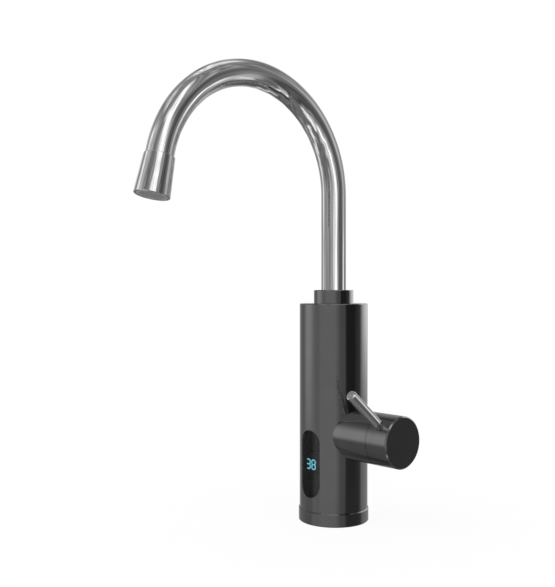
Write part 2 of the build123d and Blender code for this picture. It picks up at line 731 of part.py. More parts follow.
def make_display_lens():
    """Smoked window, flush outside, with a flange behind the housing's wall."""
    low = WINDOW_CENTRE - WINDOW_HEIGHT / 2 - LENS_FLANGE
    high = WINDOW_CENTRE + WINDOW_HEIGHT / 2 + LENS_FLANGE
    face = ring(body_r, lens_back_r, low, high)
    face &= stadium(WINDOW_WIDTH - 2 * LENS_GAP, WINDOW_HEIGHT - 2 * LENS_GAP)
    flange = ring(inner_r, lens_back_r, low, high)
    flange &= stadium(WINDOW_WIDTH + 2 * LENS_FLANGE, WINDOW_HEIGHT + 2 * LENS_FLANGE)
    return face + flange


def make_display_board():
    """Small circuit board behind the window."""
    half = DISPLAY_BOARD_WIDTH / 2
    back = display_board_front - BOARD_THICKNESS
    return block((-half, -display_board_front, DISPLAY_BOARD_BOTTOM), (half, -back, display_board_top))


def digit_strokes(segments):
    """The raised strokes of one seven-segment digit, from the names of its lit segments."""
    wide = DIGIT_WIDTH / 2 - DIGIT_STROKE / 2
    tall = DIGIT_HEIGHT / 2 - DIGIT_STROKE / 2
    strokes = []
    for name, height in (("top", tall), ("middle", 0), ("bottom", -tall)):
        if name in segments:
            strokes.append(Pos(0, height) * Rectangle(2 * wide - DIGIT_STROKE, DIGIT_STROKE))
    for name, across, height in (
        ("upper_left", -wide, tall / 2),
        ("upper_right", wide, tall / 2),
        ("lower_left", -wide, -tall / 2),
        ("lower_right", wide, -tall / 2),
    ):
        if name in segments:
            strokes.append(Pos(across, height) * Rectangle(DIGIT_STROKE, tall - DIGIT_STROKE / 2))
    return strokes


def make_digit_module():
    """Two-digit display that stands off the board, with the strokes of a 3 and an 8 on its face."""
    origin = (DIGIT_PAIR_OFFSET, -display_board_front, DIGITS_CENTRE)
    centre = Plane(origin=origin, x_dir=(1, 0, 0), z_dir=(0, -1, 0))
    module = extrude(Rectangle(DIGIT_MODULE_WIDTH, DIGIT_MODULE_HEIGHT), DIGIT_MODULE_DEPTH)
    three = ("top", "middle", "bottom", "upper_right", "lower_right")
    eight = three + ("upper_left", "lower_left")
    apart = (DIGIT_WIDTH + DIGIT_GAP) / 2
    for across, segments in ((-apart, three), (apart, eight)):
        for stroke in digit_strokes(segments):
            module += Pos(across, 0, DIGIT_MODULE_DEPTH) * extrude(stroke, DIGIT_RISE)
    return centre * module


def make_display_bracket():
    """Two arms that hold the display board off the valve block's column."""
    half = COLUMN_WIDTH / 2
    back = display_board_front - BOARD_THICKNESS
    arm = block((-half, -back, 0), (half, -half, BRACKET_THICKNESS))
    low = DISPLAY_BOARD_BOTTOM + BRACKET_MARGIN
    high = display_board_top - BRACKET_MARGIN - BRACKET_THICKNESS
    return [Pos(0, 0, height) * arm for height in (low, high)]


def make_control_board():
    """Main circuit board, across the back of the body."""
    low = (-control_board_half, control_board_front, CONTROL_BOARD_BOTTOM)
    return block(low, (control_board_half, control_board_back, control_board_top))


def make_board_posts():
    """Spacers between the valve block's head and the control board."""
    places = []
    for side in (-1, 1):
        origin = (side * POST_SPACING / 2 + POST_OFFSET, head_half, BARREL_HEIGHT)
        places.append(Plane(origin=origin, x_dir=(1, 0, 0), z_dir=(0, 1, 0)))
    length = control_board_front - head_half
    return [place * hexagon(POST_DIAMETER, 0, length) for place in places]


def make_triac():
    """Power switch, cooled by the inlet water through the column's back."""
    wide, thick, tall = TRIAC_SIZE
    back = COLUMN_WIDTH / 2
    return block((-wide / 2, back, TRIAC_BOTTOM), (wide / 2, back + thick, TRIAC_BOTTOM + tall))


def make_terminal_block():
    """Screw terminals of the mains cord, on the control board."""
    wide, deep, tall = TERMINAL_BLOCK_SIZE
    low = (-wide / 2, control_board_front - deep, CONTROL_BOARD_BOTTOM)
    return block(low, (wide / 2, control_board_front, CONTROL_BOARD_BOTTOM + tall))


def make_spout_nut():
    """Collar that clamps the housing's top to the neck and keeps the spout in."""
    return turned(
        (neck_r + THREAD_PLAY, BODY_TOP),
        (collar_r, BODY_TOP),
        (collar_r, collar_top - EDGE_BEVEL),
        (collar_r - EDGE_BEVEL, collar_top),
        (tube_r + PASS, collar_top),
        (tube_r + PASS, lip_bottom),
        (neck_r + THREAD_PLAY, lip_bottom),
    )


def make_slip_ring():
    """Plastic ring between the tailpiece's flange and the collar's lip."""
    return ring(neck_r, tube_r + PASS, tube_bottom, lip_bottom)


def seal_bottoms():
    """Heights of the tailpiece's two seal grooves."""
    first = neck_top - TAIL_SPIGOT_LENGTH + SEAL_MARGIN
    return (first, first + SEAL_SPACING)


def make_tailpiece():
    """Brass foot of the spout: a spigot with seal grooves, a flange and a socket inside the tube."""
    bottom = neck_top - TAIL_SPIGOT_LENGTH
    top = tube_bottom + TAIL_SOCKET_LENGTH
    piece = rod(tail_r, bottom, neck_top) + rod(tail_flange_r, neck_top, tube_bottom)
    piece += rod(bore_r - THREAD_PLAY, tube_bottom, top)
    piece -= rod(TAIL_BORE / 2, bottom, top)
    for groove in seal_bottoms():
        piece -= ring(tail_r, tail_r - SEAL_GROOVE_DEPTH, groove, groove + SEAL_GROOVE_WIDTH)
    return piece


def make_swivel_rings():
    """Two rubber seals round the tailpiece's spigot."""
    inner = tail_r - SEAL_GROOVE_DEPTH
    return [ring(neck_bore_r - RUN / 2, inner, low, low + SEAL_GROOVE_WIDTH) for low in seal_bottoms()]


def make_spout_tube():
    """Swan neck: one bent tube from the tailpiece to the nozzle."""
    straight = Line((0, 0, tube_bottom), (0, 0, BEND_HEIGHT))
    bend = CenterArc((0, 0), BEND_RADIUS, 0, BEND_ANGLE)
    bend = Plane(origin=(0, -BEND_RADIUS, BEND_HEIGHT), x_dir=(0, 1, 0), z_dir=(1, 0, 0)) * bend
    end = outflow.origin + outflow.z_dir * NOZZLE_SOCKET
    path = Wire([straight.edge(), bend.edge(), Line(outflow.origin, end).edge()])
    tube = sweep(Pos(0, 0, tube_bottom) * Circle(tube_r), path)
    stations = [Plane.XY.offset(tube_bottom)]
    stations += [bend_station(BEND_ANGLE * i / BORE_RUNS) for i in range(BORE_RUNS + 1)]
    stations.append(outflow.offset(NOZZLE_SOCKET))
    return tube - loft([station * Circle(bore_r) for station in stations], ruled=True)


def make_nozzle_sleeve():
    """Flared chrome sleeve on the tube's end, threaded inside its mouth for the aerator."""
    top_r = NOZZLE_TOP_DIAMETER / 2
    mouth_r = NOZZLE_MOUTH_DIAMETER / 2
    sleeve = turned(
        (tube_r + THREAD_PLAY, 0),
        (top_r - NOZZLE_BEVEL, 0),
        (top_r, NOZZLE_BEVEL),
        (mouth_r, NOZZLE_LENGTH - NOZZLE_BEVEL),
        (mouth_r - NOZZLE_BEVEL, NOZZLE_LENGTH),
        (aerator_r, NOZZLE_LENGTH),
        (aerator_r, aerator_seat),
        (bore_r, aerator_seat),
        (bore_r, NOZZLE_SOCKET),
        (tube_r + THREAD_PLAY, NOZZLE_SOCKET),
    )
    return outflow * sleeve


def make_aerator_housing():
    """Threaded ring of the aerator, flush in the nozzle's mouth."""
    outer = aerator_r - THREAD_PLAY
    shell = ring(outer, insert_r, aerator_start, aerator_face)
    ledge = ring(outer, insert_r - AERATOR_WALL, ledge_start, insert_start)
    return outflow * (shell + ledge)


def make_aerator_insert():
    """Round plastic grid of hexagonal cells, the face that the water leaves by."""
    insert = rod(insert_r - THREAD_PLAY, insert_start, aerator_face)
    places = HexLocations(CELL_PITCH / 2, 2 * CELL_RINGS + 1, 2 * CELL_RINGS + 1)
    reach = CELL_PITCH * (CELL_RINGS + 1)
    cells = [place for place in places if place.position.length < reach - CELL_FLATS / 2]
    outline = Sketch() + [place * RegularPolygon(CELL_FLATS / sqrt(3), 6) for place in cells]
    return outflow * (insert - Pos(0, 0, insert_start) * extrude(outline, AERATOR_INSERT_THICKNESS))


def make_aerator_washer():
    """Rubber washer between the aerator and the nozzle's ledge."""
    outer = aerator_r - THREAD_PLAY
    return outflow * ring(outer, outer - AERATOR_WASHER_WIDTH, aerator_seat, aerator_start)


def make_aerator_screen():
    """Steel screen that lies on the aerator's ledge."""
    return outflow * rod(insert_r - THREAD_PLAY, ledge_start - SCREEN_THICKNESS, ledge_start)


pieces = {
    "base_ring": make_base_ring(),
    "base_gasket": make_base_gasket(),
    "base_screws": make_base_screws(),
    "cord_grommet": make_cord_grommet(),
    "inlet_shank": make_inlet_shank(),
    "deck_washer": make_horseshoe(deck_washer_bottom, DECK_WASHER_THICKNESS),
    "clamp_washer": make_horseshoe(clamp_washer_bottom, CLAMP_WASHER_THICKNESS),
    "lock_nut": make_lock_nut(),
    "valve_block": make_valve_block(),
    "flow_piston": make_flow_piston(),
    "reed_switch": make_reed_switch(),
    "cartridge_sleeve": make_cartridge_sleeve(),
    "port_seal": make_port_seal(),
    "fixed_disc": make_fixed_disc(),
    "moving_disc": make_moving_disc(),
    "cartridge_body": make_cartridge_body(),
    "cartridge_stem": make_cartridge_stem(),
    "stem_seal": make_stem_seal(),
    "cartridge_nut": make_cartridge_nut(),
    "bearing_ring": make_bearing_ring(),
    "handle_cap": make_handle_cap(),
    "lever": make_lever(),
    "set_screw": make_set_screw(),
    "heating_chamber": make_heating_chamber(),
    "chamber_gasket": make_chamber_gasket(),
    "chamber_screws": make_chamber_screws(),
    "heating_element": make_heating_element(),
    "thermal_cutout": make_thermal_cutout(),
    "temperature_sensor": make_temperature_sensor(),
    "housing": make_housing(),
    "display_lens": make_display_lens(),
    "display_board": make_display_board(),
    "digit_module": make_digit_module(),
    "display_bracket": make_display_bracket(),
    "control_board": make_control_board(),
    "board_posts": make_board_posts(),
    "triac": make_triac(),
    "terminal_block": make_terminal_block(),
    "spout_nut": make_spout_nut(),
    "slip_ring": make_slip_ring(),
    "tailpiece": make_tailpiece(),
    "swivel_rings": make_swivel_rings(),
    "spout_tube": make_spout_tube(),
    "nozzle_sleeve": make_nozzle_sleeve(),
    "aerator_housing": make_aerator_housing(),
    "aerator_insert": make_aerator_insert(),
    "aerator_washer": make_aerator_washer(),
    "aerator_screen": make_aerator_screen(),
}

os.makedirs("parts", exist_ok=True)
for name, piece in pieces.items():
    shape = Compound(children=piece) if isinstance(piece, list) else piece
    export_step(shape, f"parts/{name}.step")
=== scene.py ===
import bmesh
import bpy
import math
from mathutils import Matrix, Vector


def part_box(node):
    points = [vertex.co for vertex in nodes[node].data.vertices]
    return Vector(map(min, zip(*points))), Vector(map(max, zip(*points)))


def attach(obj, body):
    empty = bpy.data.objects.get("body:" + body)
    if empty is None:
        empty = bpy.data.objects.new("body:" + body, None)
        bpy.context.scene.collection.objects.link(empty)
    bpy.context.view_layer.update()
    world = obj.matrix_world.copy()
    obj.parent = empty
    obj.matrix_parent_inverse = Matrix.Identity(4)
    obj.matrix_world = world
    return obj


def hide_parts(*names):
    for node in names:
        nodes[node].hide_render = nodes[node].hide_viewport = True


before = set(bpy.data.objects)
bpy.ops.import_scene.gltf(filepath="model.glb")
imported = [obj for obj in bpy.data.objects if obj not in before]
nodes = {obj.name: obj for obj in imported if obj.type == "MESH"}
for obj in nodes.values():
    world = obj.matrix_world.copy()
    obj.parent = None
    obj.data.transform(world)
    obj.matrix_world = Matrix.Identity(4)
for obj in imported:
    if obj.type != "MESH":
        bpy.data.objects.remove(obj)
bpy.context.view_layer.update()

# Camera
# It stands about 0.7 m from the tap, to the right of the spout and a little above the body,
# and looks level.
CAMERA_PLACE = (0.4876, -0.4949, 0.1876)
CAMERA_HEADING = 138.34
CAMERA_PITCH = -0.37
camera = bpy.data.objects.new("camera", bpy.data.cameras.new("camera"))
camera.data.lens = 52.3
camera.data.sensor_width = 36
camera.data.clip_start = 0.01
camera.data.clip_end = 50
camera.location = CAMERA_PLACE
camera.rotation_euler = (math.radians(90 + CAMERA_PITCH), 0, math.radians(CAMERA_HEADING - 90))
bpy.context.collection.objects.link(camera)
bpy.context.scene.camera = camera
bpy.context.scene.view_settings.view_transform = "Standard"


# Studio
# A pale floor and a white backdrop, two soft lamps, and round them two tents of pale cloth with
# soft boxes and black flags, which only reflections see.
ROOM_LIGHT = 0.5
FLOOR_RADIUS = 9.0
FLOOR_COLOUR = 0.85
FLOOR_NEAR_WHITE = 0.95
TENT_MIDDLE = 0.18


def new_material(name):
    """An empty node material, its tree and its output node."""
    material = bpy.data.materials.new(name)
    material.use_nodes = True
    material.node_tree.nodes.clear()
    return material, material.node_tree, material.node_tree.nodes.new("ShaderNodeOutputMaterial")


def new_object(name, vertices, faces, material):
    """A mesh object in the shared frame, from points in metres."""
    mesh = bpy.data.meshes.new(name)
    mesh.from_pydata(vertices, [], faces)
    mesh.update()
    mesh.materials.append(material)
    thing = bpy.data.objects.new(name, mesh)
    bpy.context.collection.objects.link(thing)
    return thing


def backdrop_rays(tree):
    """1 for the rays that see the studio as plain white: the camera's, and those through glass or off metal."""
    paths = tree.nodes.new("ShaderNodeLightPath")
    bounced = tree.nodes.new("ShaderNodeMath")
    bounced.operation = "MAXIMUM"
    tree.links.new(paths.outputs["Is Glossy Ray"], bounced.inputs[0])
    tree.links.new(paths.outputs["Is Transmission Ray"], bounced.inputs[1])
    seen = tree.nodes.new("ShaderNodeMath")
    seen.operation = "MAXIMUM"
    tree.links.new(paths.outputs["Is Camera Ray"], seen.inputs[0])
    tree.links.new(bounced.outputs[0], seen.inputs[1])
    return seen.outputs[0]


def make_world():
    """Even light from all round, and white where the camera sees it."""
    world = bpy.data.worlds.new("studio")
    bpy.context.scene.world = world
    world.use_nodes = True
    tree = world.node_tree
    tree.nodes.clear()
    room = tree.nodes.new("ShaderNodeBackground")
    room.inputs["Color"].default_value = (1, 1, 1, 1)
    room.inputs["Strength"].default_value = ROOM_LIGHT
    white = tree.nodes.new("ShaderNodeBackground")
    white.inputs["Color"].default_value = (1, 1, 1, 1)
    mix = tree.nodes.new("ShaderNodeMixShader")
    out = tree.nodes.new("ShaderNodeOutputWorld")
    tree.links.new(backdrop_rays(tree), mix.inputs[0])
    tree.links.new(room.outputs[0], mix.inputs[1])
    tree.links.new(white.outputs[0], mix.inputs[2])
    tree.links.new(mix.outputs[0], out.inputs["Surface"])


def floor_material():
    """White floor that keeps a faint shadow near the tap, runs out into the backdrop and is clear from below."""
    material, tree, out = new_material("floor")
    place = tree.nodes.new("ShaderNodeTexCoord")
    away = tree.nodes.new("ShaderNodeVectorMath")
    away.operation = "LENGTH"
    tree.links.new(place.outputs["Object"], away.inputs[0])
    fade = tree.nodes.new("ShaderNodeMapRange")
    fade.inputs["From Min"].default_value = 0.06
    fade.inputs["From Max"].default_value = 0.2
    fade.inputs["To Min"].default_value = FLOOR_NEAR_WHITE
    fade.inputs["To Max"].default_value = 1.0
    tree.links.new(away.outputs["Value"], fade.inputs["Value"])
    share = tree.nodes.new("ShaderNodeMath")
    share.operation = "MULTIPLY"
    tree.links.new(backdrop_rays(tree), share.inputs[0])
    tree.links.new(fade.outputs[0], share.inputs[1])
    paint = tree.nodes.new("ShaderNodeBsdfDiffuse")
    paint.inputs["Color"].default_value = (FLOOR_COLOUR, FLOOR_COLOUR, FLOOR_COLOUR, 1)
    white = tree.nodes.new("ShaderNodeEmission")
    top = tree.nodes.new("ShaderNodeMixShader")
    tree.links.new(share.outputs[0], top.inputs[0])
    tree.links.new(paint.outputs[0], top.inputs[1])
    tree.links.new(white.outputs[0], top.inputs[2])
    side = tree.nodes.new("ShaderNodeNewGeometry")
    clear = tree.nodes.new("ShaderNodeBsdfTransparent")
    both = tree.nodes.new("ShaderNodeMixShader")
    tree.links.new(side.outputs["Backfacing"], both.inputs[0])
    tree.links.new(top.outputs[0], both.inputs[1])
    tree.links.new(clear.outputs[0], both.inputs[2])
    tree.links.new(both.outputs[0], out.inputs["Surface"])
    return material


def make_floor():
    rim = [math.radians(360 * i / 96) for i in range(96)]
    points = [(FLOOR_RADIUS * math.cos(a), FLOOR_RADIUS * math.sin(a), 0) for a in rim]
    floor = new_object("floor", points, [range(96)], floor_material())
    floor.visible_glossy = False


# Two tents of cloth hang round the tap: one for the polished pieces and one for all the others.
# Each has its cloth's brightness at the level of the tap, above and below, and soft boxes and
# flags on it: (azimuth, half width, azimuth edge, lowest and highest elevation, elevation edge,
# brightness), in degrees from -Y towards +X. The soft boxes and flags were placed to give the
# reflections that the photograph shows from its side, so they suit this tap alone.
COATED_CLOTH = (0.6, 0.23, 0.25)
COATED_PANELS = (
    (240, 60, 12, -22, 24, 10, 0.5),  # the room behind, at the left
    (272, 17, 8, -22, 24, 8, 0.38),
    (348, 9, 8, -20, 24, 8, 0.49),
    (311, 15.5, 11, -11, 22, 12, 1.03),  # large soft box at the left
    (311, 20, 8, -40, -13, 7, 0.3),  # and the shade under it
    (74, 15, 12, -26, 26, 8, 0.3),  # grey and black flags at the right
    (108, 23.5, 4, -26, 26, 8, 0.055),
    (136, 12, 7, -26, 26, 8, 0.13),
    (108, 23.5, 4, -30, -12, 4, 0.11),
    (50, 85, 12, 39, 53, 4, 1.7),  # long soft boxes above and below
    (58, 80, 12, -49, -39, 4, 1.05),
    (178, 21, 12, -5, 40, 6, 2.0),  # rim light behind
    (0, 200, 10, 64, 100, 5, 0.9),  # pale ceiling straight above
)
POLISHED_CLOTH = (0.52, 0.42, 0.28)
POLISHED_PANELS = (
    (5, 40, 12, -62, -6, 8, 0.27),  # shade in front, with pale strips
    (5, 4, 2.5, -10, 14, 4, 0.3),
    (14, 11, 3, 15, 45, 6, 0.31),
    (30, 3.5, 2, 15, 45, 6, 0.55),
    (39, 5, 2, 15, 45, 6, 0.33),
    (352, 6, 3, 15, 45, 6, 0.6),
    (330, 16, 4, 15, 45, 6, 0.86),
    (24, 4.5, 3, -18, 14, 5, 0.74),
    (250, 15, 6, -62, -12, 8, 0.2),  # shade at the left
    (272, 8, 5, -30, 10, 6, 0.36),
    (287, 5, 4, 16, 34, 6, 0.45),
    (286, 6, 4, -50, -30, 6, 0.65),  # soft boxes at the left
    (267, 6, 4, 12, 26, 4, 0.95),
    (309, 9, 4, 18, 36, 6, 1.55),
    (294, 7, 4, -12, 16, 6, 1.5),
    (301, 10, 5, -30, -10, 5, 1.5),
    (316, 10, 5, -46, -28, 5, 1.3),
    (328, 20, 8, -60, -47, 5, 1.5),
    (316, 26, 10, 52, 66, 4, 1.1),
    (60, 21, 8, -42, 72, 6, 1.25),  # tall window at the right, with its brightest parts
    (70, 6.5, 3, -40, 66, 6, 2.1),
    (63, 14, 4, 18, 70, 8, 2.0),
    (40, 20, 8, 46, 54, 3, 1.6),
    (62, 22, 8, -66, -47, 5, 1.6),  # pale floor under it
    (136, 16, 6, -70, -58, 4, 1.5),
    (91, 8, 5, -45, 62, 6, 0.5),  # black flags beside it
    (112.5, 16.5, 5, -36, 31, 5, 0.155),
    (122, 16, 5, 32, 70, 5, 0.38),
    (124, 14, 5, 41.5, 45.5, 2, 0.85),  # strip lights above them
    (122, 14, 5, 53, 57, 2, 0.85),
    (108, 12, 4, -55, -33, 4, 0.16),
    (123, 3, 1.5, -56, -42, 4, 0.75),
    (137, 5, 3, -5, 46, 4, 0.4),
    (148, 12, 4, -32, -9, 4, 1.0),  # small lamps behind
    (144, 4.5, 3, -10, -2, 3, 1.5),
    (146, 4.5, 2.5, -3, 5, 3, 2.2),
    (147, 7, 4, 6, 26, 4, 1.0),
    (152, 4, 3, -40, -24, 4, 1.5),
    (170, 9, 4, -56, -15, 4, 0.24),
    (168, 9, 4, -15, 6, 5, 0.37),
    (196, 8, 4, -22, -4, 4, 0.75),
    (180, 32, 10, 42, 56, 5, 0.3),
    (205, 12, 5, -52, -20, 6, 0.16),
    (212, 10, 5, 5, 30, 3, 1.0),
    (231, 2.5, 1.5, -50, 52, 6, 0.8),
    (229, 4, 3, -52, -28, 5, 1.2),
    (225, 50, 15, 62, 86, 6, 1.5),
)
POLISHED_FOLDS = 0.42
polished = bpy.data.collections.new("polished")
unpolished = bpy.data.collections.new("unpolished")


def soft_step(low, high, value):
    """0 below low, 1 above high, smooth between."""
    share = min(1, max(0, (value - low) / (high - low)))
    return share * share * (3 - 2 * share)


def folds(azimuth, elevation):
    """The folds of hanging cloth, from -1 to 1."""
    slow = math.sin(math.radians(7 * azimuth) + 1.4 * math.sin(math.radians(4 * elevation)))
    middle = math.sin(math.radians(23 * azimuth + 40) + 1.7 * math.sin(math.radians(5 * elevation)))
    fine = math.sin(math.radians(41 * azimuth) + 2.2 * math.sin(math.radians(3 * elevation) + slow))
    level = math.sin(math.radians(19 * elevation) + 1.5 * slow)
    return 0.1 * slow + 0.6 * middle + 0.15 * fine + 0.15 * level


def tent_brightness(cloth, panels, azimuth, elevation):
    """What a reflection sees in a direction, in degrees."""
    level, ceiling, ground = cloth
    level += (ceiling - level) * soft_step(18, 45, elevation)
    level += (ground - level) * soft_step(14, 32, -elevation)
    for middle, half_width, edge, low, high, rim, brightness in panels:
        away = abs((azimuth - middle + 180) % 360 - 180)
        cover = 1 - soft_step(half_width - edge, half_width + edge, away)
        cover *= soft_step(low - rim, low + rim, elevation)
        cover *= 1 - soft_step(high - rim, high + rim, elevation)
        level += (brightness - level) * cover
    return level


def direction(azimuth, elevation):
    """The unit vector that points in a direction given in degrees."""
    a, e = math.radians(azimuth), math.radians(elevation)
    return Vector((math.sin(a) * math.cos(e), -math.cos(a) * math.cos(e), math.sin(e)))


def make_tent(name, radius, across, cloth, panels, folding, pieces, lets_through):
    """A round tent whose brightness is kept on its points, and which lights only some pieces."""
    up = 180
    points, levels, faces = [], [], []
    for j in range(up + 1):
        elevation = 180 * j / up - 90
        for i in range(across):
            azimuth = 360 * i / across
            points.append(direction(azimuth, elevation) * radius + Vector((0, 0, TENT_MIDDLE)))
            level = tent_brightness(cloth, panels, azimuth, elevation)
            levels.append(level * (1 + folding * folds(azimuth, elevation)))
    for j in range(up):
        for i in range(across):
            k = (i + 1) % across
            faces.append((j * across + i, j * across + k, (j + 1) * across + k, (j + 1) * across + i))
    material, tree, out = new_material(name)
    level = tree.nodes.new("ShaderNodeAttribute")
    level.attribute_name = "level"
    glow = tree.nodes.new("ShaderNodeEmission")
    tree.links.new(level.outputs["Fac"], glow.inputs["Strength"])
    both = tree.nodes.new("ShaderNodeAddShader")
    tree.links.new(glow.outputs[0], both.inputs[0])
    if lets_through:
        through = tree.nodes.new("ShaderNodeBsdfTransparent")
        tree.links.new(through.outputs[0], both.inputs[1])
    tree.links.new(both.outputs[0], out.inputs["Surface"])
    material.cycles.emission_sampling = "NONE"
    tent = new_object(name, points, faces, material)
    tent.data.attributes.new("level", "FLOAT", "POINT").data.foreach_set("value", levels)
    tent.visible_camera = False
    tent.visible_diffuse = False
    tent.visible_transmission = False
    tent.visible_shadow = False
    tent.light_linking.receiver_collection = pieces


def soft_lamp(name, azimuth, elevation, distance, size, brightness):
    """A square soft box that faces the tap and shows in no reflection; brightness 1 is white."""
    lamp = bpy.data.objects.new(name, bpy.data.lights.new(name, "AREA"))
    way = direction(azimuth, elevation)
    lamp.location = way * distance + Vector((0, 0, TENT_MIDDLE))
    lamp.rotation_euler = way.to_track_quat("Z", "Y").to_euler()
    lamp.data.size = size
    lamp.data.energy = brightness * 4 * size * size
    lamp.visible_glossy = False
    bpy.context.collection.objects.link(lamp)


make_world()
make_floor()
make_tent("tent_for_coating", 6.0, 360, COATED_CLOTH, COATED_PANELS, 0, unpolished, True)
make_tent("tent_for_chrome", 6.5, 720, POLISHED_CLOTH, POLISHED_PANELS, POLISHED_FOLDS, polished, False)
soft_lamp("key_lamp", 330, 45, 1.6, 0.9, 4)
soft_lamp("fill_lamp", 80, 35, 1.8, 1.2, 1.5)


def polish(thing):
    """Puts a piece in the tent for chrome and takes it out of the other one."""
    polished.objects.link(thing)
    unpolished.objects.link(thing)
    for piece in unpolished.collection_objects:
        piece.light_linking.link_state = "EXCLUDE"


# Inlet shank
# The brass inlet pipe: turned from bar, with the inlet thread at its free end and the long
# thread that the lock nut runs on. Its flange sits under the valve block.
MM = 0.001
THREAD_PITCH = 1.814
THREAD_DEPTH = 1.162
THREAD_SIDES = 72
SHANK_R = 10.4775
SHANK_BORE_R = 5.5
SHANK_FLANGE = 3.5
SHANK_RELIEF = 2.0
INLET_THREAD = 16.0


def surface_finish_group():
    """Patches of tone, a spread of roughness and a fine grain, stretched as the piece was worked."""
    group = bpy.data.node_groups.new("surface_finish", "ShaderNodeTree")
    face = group.interface
    for label, kind in (
        ("Colour", "Color"),
        ("Patch Colour", "Color"),
        ("Patches per Metre", "Float"),
        ("Roughness", "Float"),
        ("Roughness Spread", "Float"),
        ("Grain", "Vector"),
    ):
        face.new_socket(label, in_out="INPUT", socket_type="NodeSocket" + kind)
    for label, kind in (("Colour", "Color"), ("Roughness", "Float"), ("Height", "Float")):
        face.new_socket(label, in_out="OUTPUT", socket_type="NodeSocket" + kind)
    given = group.nodes.new("NodeGroupInput")
    result = group.nodes.new("NodeGroupOutput")
    place = group.nodes.new("ShaderNodeTexCoord")
    patches = group.nodes.new("ShaderNodeTexNoise")
    patches.inputs["Detail"].default_value = 3
    group.links.new(place.outputs["Object"], patches.inputs["Vector"])
    group.links.new(given.outputs["Patches per Metre"], patches.inputs["Scale"])
    tone = group.nodes.new("ShaderNodeMapRange")
    tone.inputs["From Min"].default_value = 0.35
    tone.inputs["From Max"].default_value = 0.7
    group.links.new(patches.outputs["Fac"], tone.inputs["Value"])
    colour = group.nodes.new("ShaderNodeMix")
    colour.data_type = "RGBA"
    group.links.new(tone.outputs[0], colour.inputs["Factor"])
    group.links.new(given.outputs["Colour"], colour.inputs["A"])
    group.links.new(given.outputs["Patch Colour"], colour.inputs["B"])
    group.links.new(colour.outputs["Result"], result.inputs["Colour"])
    stretched = group.nodes.new("ShaderNodeVectorMath")
    stretched.operation = "MULTIPLY"
    group.links.new(place.outputs["Object"], stretched.inputs[0])
    group.links.new(given.outputs["Grain"], stretched.inputs[1])
    grain = group.nodes.new("ShaderNodeTexNoise")
    grain.inputs["Scale"].default_value = 1
    grain.inputs["Detail"].default_value = 2
    group.links.new(stretched.outputs["Vector"], grain.inputs["Vector"])
    group.links.new(grain.outputs["Fac"], result.inputs["Height"])
    both = group.nodes.new("ShaderNodeMath")
    both.operation = "ADD"
    group.links.new(patches.outputs["Fac"], both.inputs[0])
    group.links.new(grain.outputs["Fac"], both.inputs[1])
    middle = group.nodes.new("ShaderNodeMath")
    middle.operation = "SUBTRACT"
    middle.inputs[1].default_value = 1
    group.links.new(both.outputs[0], middle.inputs[0])
    rough = group.nodes.new("ShaderNodeMath")
    rough.operation = "MULTIPLY_ADD"
    group.links.new(middle.outputs[0], rough.inputs[0])
    group.links.new(given.outputs["Roughness Spread"], rough.inputs[1])
    group.links.new(given.outputs["Roughness"], rough.inputs[2])
    group.links.new(rough.outputs[0], result.inputs["Roughness"])
    return group


surface_finish = surface_finish_group()


def finish(name, colour, patch_colour, metallic, roughness, spread, patches, grain, relief, ior=1.5):
    """A Principled material on the shared surface group; relief is the grain's depth in millimetres."""
    material, tree, out = new_material(name)
    shader = tree.nodes.new("ShaderNodeBsdfPrincipled")
    shader.inputs["Metallic"].default_value = metallic
    shader.inputs["IOR"].default_value = ior
    look = tree.nodes.new("ShaderNodeGroup")
    look.node_tree = surface_finish
    look.inputs["Colour"].default_value = (*colour, 1)
    look.inputs["Patch Colour"].default_value = (*patch_colour, 1)
    look.inputs["Patches per Metre"].default_value = patches
    look.inputs["Roughness"].default_value = roughness
    look.inputs["Roughness Spread"].default_value = spread
    look.inputs["Grain"].default_value = grain
    bump = tree.nodes.new("ShaderNodeBump")
    bump.inputs["Distance"].default_value = relief * MM
    bump.inputs["Strength"].default_value = 1
    tree.links.new(look.outputs["Colour"], shader.inputs["Base Color"])
    tree.links.new(look.outputs["Roughness"], shader.inputs["Roughness"])
    tree.links.new(look.outputs["Height"], bump.inputs["Height"])
    tree.links.new(bump.outputs[0], shader.inputs["Normal"])
    tree.links.new(shader.outputs[0], out.inputs["Surface"])
    return material


def rounded(corners, hold=0.05, steps=4):
    """An outline of (radius, height, rounding) corners, with points that keep the flats flat."""
    count = len(corners)
    arcs = []
    for i, (r, z, rounding) in enumerate(corners):
        here = Vector((r, z))
        before = Vector(corners[i - 1][:2]) - here
        after = Vector(corners[(i + 1) % count][:2]) - here
        turn = before.angle(after)
        if rounding == 0:
            arcs.append([here])
            continue
        reach = rounding / math.tan(turn / 2)
        first = here + before.normalized() * reach
        last = here + after.normalized() * reach
        middle = here + (before.normalized() + after.normalized()).normalized() * rounding / math.sin(turn / 2)
        sweep = (first - middle).angle_signed(last - middle)
        arc = []
        for k in range(steps + 1):
            arc.append(middle + Matrix.Rotation(-sweep * k / steps, 2) @ (first - middle))
        arcs.append(arc)
    outline = []
    for i, arc in enumerate(arcs):
        outline += arc
        start, end = arc[-1], arcs[(i + 1) % count][0]
        if (end - start).length > 4 * hold:
            way = (end - start).normalized()
            outline += [start + way * hold, end - way * hold]
    return [(max(0, p.x), p.y) for p in outline]


